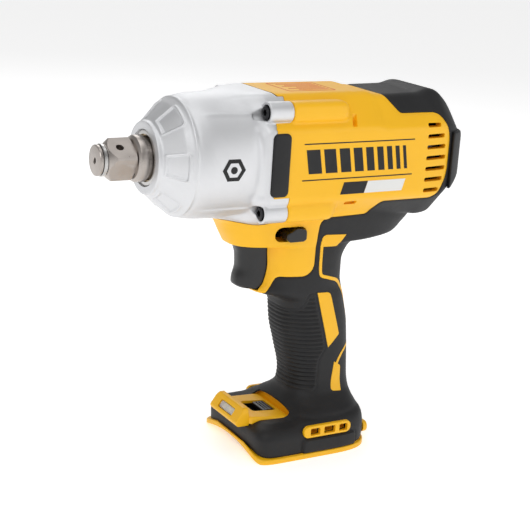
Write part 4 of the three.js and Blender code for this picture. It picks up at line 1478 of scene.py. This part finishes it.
def make_world():
    world = bpy.data.worlds.new("studio")
    bpy.context.scene.world = world
    sky = NodeTree(world)
    way = sky.node("ShaderNodeTexCoord", output="Generated")
    height = sky.node("ShaderNodeSeparateXYZ", None, {0: way}, "Z")
    tone = sky.ramp(height, (0.06, 1.0), (0.2, 0.5), (0.5, 0.24), (0.8, 0.5))
    light = sky.node("ShaderNodeBackground", None, {"Color": tone, "Strength": 0.95})
    sky.node("ShaderNodeOutputWorld", None, {"Surface": light}, None)
    bpy.context.scene.view_settings.view_transform = "Standard"


def make_camera():
    studio = bpy.context.scene.wrench_studio
    level = math.cos(studio.elevation)
    ways = (math.sin(studio.azimuth) * level, math.cos(studio.azimuth) * level, math.sin(studio.elevation))
    back = Vector(ways)
    right = (-back).cross(Vector((0, 0, 1))).normalized()
    up = right.cross(-back)
    turned_right = right * math.cos(studio.roll) + up * math.sin(studio.roll)
    turned_up = up * math.cos(studio.roll) - right * math.sin(studio.roll)
    target = Vector((3.8, -2.5, 119.4)) * MM
    camera = bpy.data.cameras.new("camera")
    camera.lens = studio.lens
    camera.sensor_width = 36
    camera.clip_start = 0.01
    holder = bpy.data.objects.new("camera", camera)
    bpy.context.scene.collection.objects.link(holder)
    turn = Matrix((turned_right, turned_up, back)).transposed().to_4x4()
    holder.matrix_world = Matrix.Translation(target + back * studio.distance) @ turn
    bpy.context.scene.camera = holder


def make_stage():
    make_world()
    make_floor()
    make_light("key", (0.9, 0.9, 1.3), (0, 0, 0.15), 0.7, 5.5)
    make_light("fill", (-0.9, 1.1, 0.6), (0, 0, 0.12), 0.9, 2.5)
    make_light("back", (-0.4, -1.1, 1.0), (0, 0, 0.15), 0.8, 3.5)
    make_light("top", (0, 0, 1.5), (0, 0, 0), 1.0, 3)
    make_camera()


# ------------------------------------------------------------------ operators and panel


class WrenchOperator:
    """What all of the wrench's operators share."""

    bl_options = {"REGISTER", "UNDO"}


class WRENCH_OT_casings(WrenchOperator, bpy.types.Operator):
    """Make both yellow casings"""

    bl_idname = "wrench.casings"
    bl_label = "Casings"

    def execute(self, context):
        make_casings()
        return {"FINISHED"}


class WRENCH_OT_grips(WrenchOperator, bpy.types.Operator):
    """Make the rubber overmoulds with their ribs"""

    bl_idname = "wrench.grips"
    bl_label = "Grips"

    def execute(self, context):
        make_grips()
        return {"FINISHED"}


class WRENCH_OT_inlays(WrenchOperator, bpy.types.Operator):
    """Make the yellow bars in the grip"""

    bl_idname = "wrench.inlays"
    bl_label = "Inlays"

    def execute(self, context):
        make_accents()
        return {"FINISHED"}


class WRENCH_OT_rear_guard(WrenchOperator, bpy.types.Operator):
    """Make the rubber guard on the back"""

    bl_idname = "wrench.rear_guard"
    bl_label = "Rear guard"

    def execute(self, context):
        make_rear_guard()
        return {"FINISHED"}


class WRENCH_OT_nose_case(WrenchOperator, bpy.types.Operator):
    """Make the cast hammer case"""

    bl_idname = "wrench.nose_case"
    bl_label = "Hammer case"

    def execute(self, context):
        make_nose_case()
        return {"FINISHED"}


class WRENCH_OT_side_pads(WrenchOperator, bpy.types.Operator):
    """Make the rubber pads on the hammer case"""

    bl_idname = "wrench.side_pads"
    bl_label = "Side pads"

    def execute(self, context):
        make_side_pads()
        return {"FINISHED"}


class WRENCH_OT_case_bolts(WrenchOperator, bpy.types.Operator):
    """Make the bolts of the hammer case"""

    bl_idname = "wrench.case_bolts"
    bl_label = "Case bolts"

    def execute(self, context):
        make_case_bolts()
        return {"FINISHED"}


class WRENCH_OT_casing_screws(WrenchOperator, bpy.types.Operator):
    """Make the screws of the casings"""

    bl_idname = "wrench.casing_screws"
    bl_label = "Casing screws"

    def execute(self, context):
        make_housing_screws()
        return {"FINISHED"}


class WRENCH_OT_nose_rings(WrenchOperator, bpy.types.Operator):
    """Make the bushing and the seal of the drive"""

    bl_idname = "wrench.nose_rings"
    bl_label = "Nose rings"

    def execute(self, context):
        make_nose_rings()
        return {"FINISHED"}


class WRENCH_OT_drive(WrenchOperator, bpy.types.Operator):
    """Make the square drive and its retaining ring"""

    bl_idname = "wrench.drive"
    bl_label = "Square drive"

    def execute(self, context):
        make_drive()
        return {"FINISHED"}


class WRENCH_OT_trigger(WrenchOperator, bpy.types.Operator):
    """Make the trigger"""

    bl_idname = "wrench.trigger"
    bl_label = "Trigger"

    def execute(self, context):
        make_trigger()
        return {"FINISHED"}


class WRENCH_OT_selector(WrenchOperator, bpy.types.Operator):
    """Make the direction selector"""

    bl_idname = "wrench.selector"
    bl_label = "Selector"

    def execute(self, context):
        make_selector()
        return {"FINISHED"}


class WRENCH_OT_foot_trims(WrenchOperator, bpy.types.Operator):
    """Make the trims and the knob on the foot"""

    bl_idname = "wrench.foot_trims"
    bl_label = "Foot trims"

    def execute(self, context):
        make_foot_trims()
        return {"FINISHED"}


class WRENCH_OT_lamp(WrenchOperator, bpy.types.Operator):
    """Make the lamp on the foot"""

    bl_idname = "wrench.lamp"
    bl_label = "Lamp"

    def execute(self, context):
        make_lamp()
        return {"FINISHED"}


class WRENCH_OT_marks(WrenchOperator, bpy.types.Operator):
    """Make the plain printed marks"""

    bl_idname = "wrench.marks"
    bl_label = "Printed marks"

    def execute(self, context):
        make_marks()
        return {"FINISHED"}


class WRENCH_OT_springs(WrenchOperator, bpy.types.Operator):
    """Make the springs of the hammer and the trigger"""

    bl_idname = "wrench.springs"
    bl_label = "Springs"

    def execute(self, context):
        make_springs()
        return {"FINISHED"}


class WRENCH_OT_inner_pieces(WrenchOperator, bpy.types.Operator):
    """Finish the pieces inside"""

    bl_idname = "wrench.inner_pieces"
    bl_label = "Inner pieces"

    def execute(self, context):
        finish_inner_pieces()
        return {"FINISHED"}


class WRENCH_OT_stage(WrenchOperator, bpy.types.Operator):
    """Make the floor, the lights and the camera"""

    bl_idname = "wrench.stage"
    bl_label = "Studio"

    def execute(self, context):
        make_stage()
        return {"FINISHED"}


OPERATORS = [
    WRENCH_OT_casings,
    WRENCH_OT_grips,
    WRENCH_OT_inlays,
    WRENCH_OT_rear_guard,
    WRENCH_OT_nose_case,
    WRENCH_OT_side_pads,
    WRENCH_OT_case_bolts,
    WRENCH_OT_casing_screws,
    WRENCH_OT_nose_rings,
    WRENCH_OT_drive,
    WRENCH_OT_trigger,
    WRENCH_OT_selector,
    WRENCH_OT_foot_trims,
    WRENCH_OT_lamp,
    WRENCH_OT_marks,
    WRENCH_OT_springs,
    WRENCH_OT_inner_pieces,
    WRENCH_OT_stage,
]


class WRENCH_PT_panel(bpy.types.Panel):
    """Lists the settings and the operators"""

    bl_label = "Impact wrench"
    bl_space_type = "VIEW_3D"
    bl_region_type = "UI"
    bl_category = "Wrench"

    def draw(self, context):
        for name in GROUPS:
            group = getattr(context.scene, name)
            for key in group.__annotations__:
                self.layout.prop(group, key)
        for item in OPERATORS:
            self.layout.operator(item.bl_idname)


GROUPS = {"wrench_sizes": WrenchSizes, "wrench_colours": WrenchColours, "wrench_studio": WrenchStudio}


def register():
    for item in (*GROUPS.values(), *OPERATORS, WRENCH_PT_panel):
        bpy.utils.register_class(item)
    for key, group in GROUPS.items():
        setattr(bpy.types.Scene, key, bpy.props.PointerProperty(type=group))


def unregister():
    for key in GROUPS:
        delattr(bpy.types.Scene, key)
    for item in (WRENCH_PT_panel, *reversed(OPERATORS), *GROUPS.values()):
        bpy.utils.unregister_class(item)


def main():
    register()
    for item in OPERATORS:
        getattr(bpy.ops.wrench, item.bl_idname.split(".")[1])()
    for form in (body_skin(), grooved_skin(), ribbed_skin()):
        form.discard()


if __name__ == "__main__":
    main()
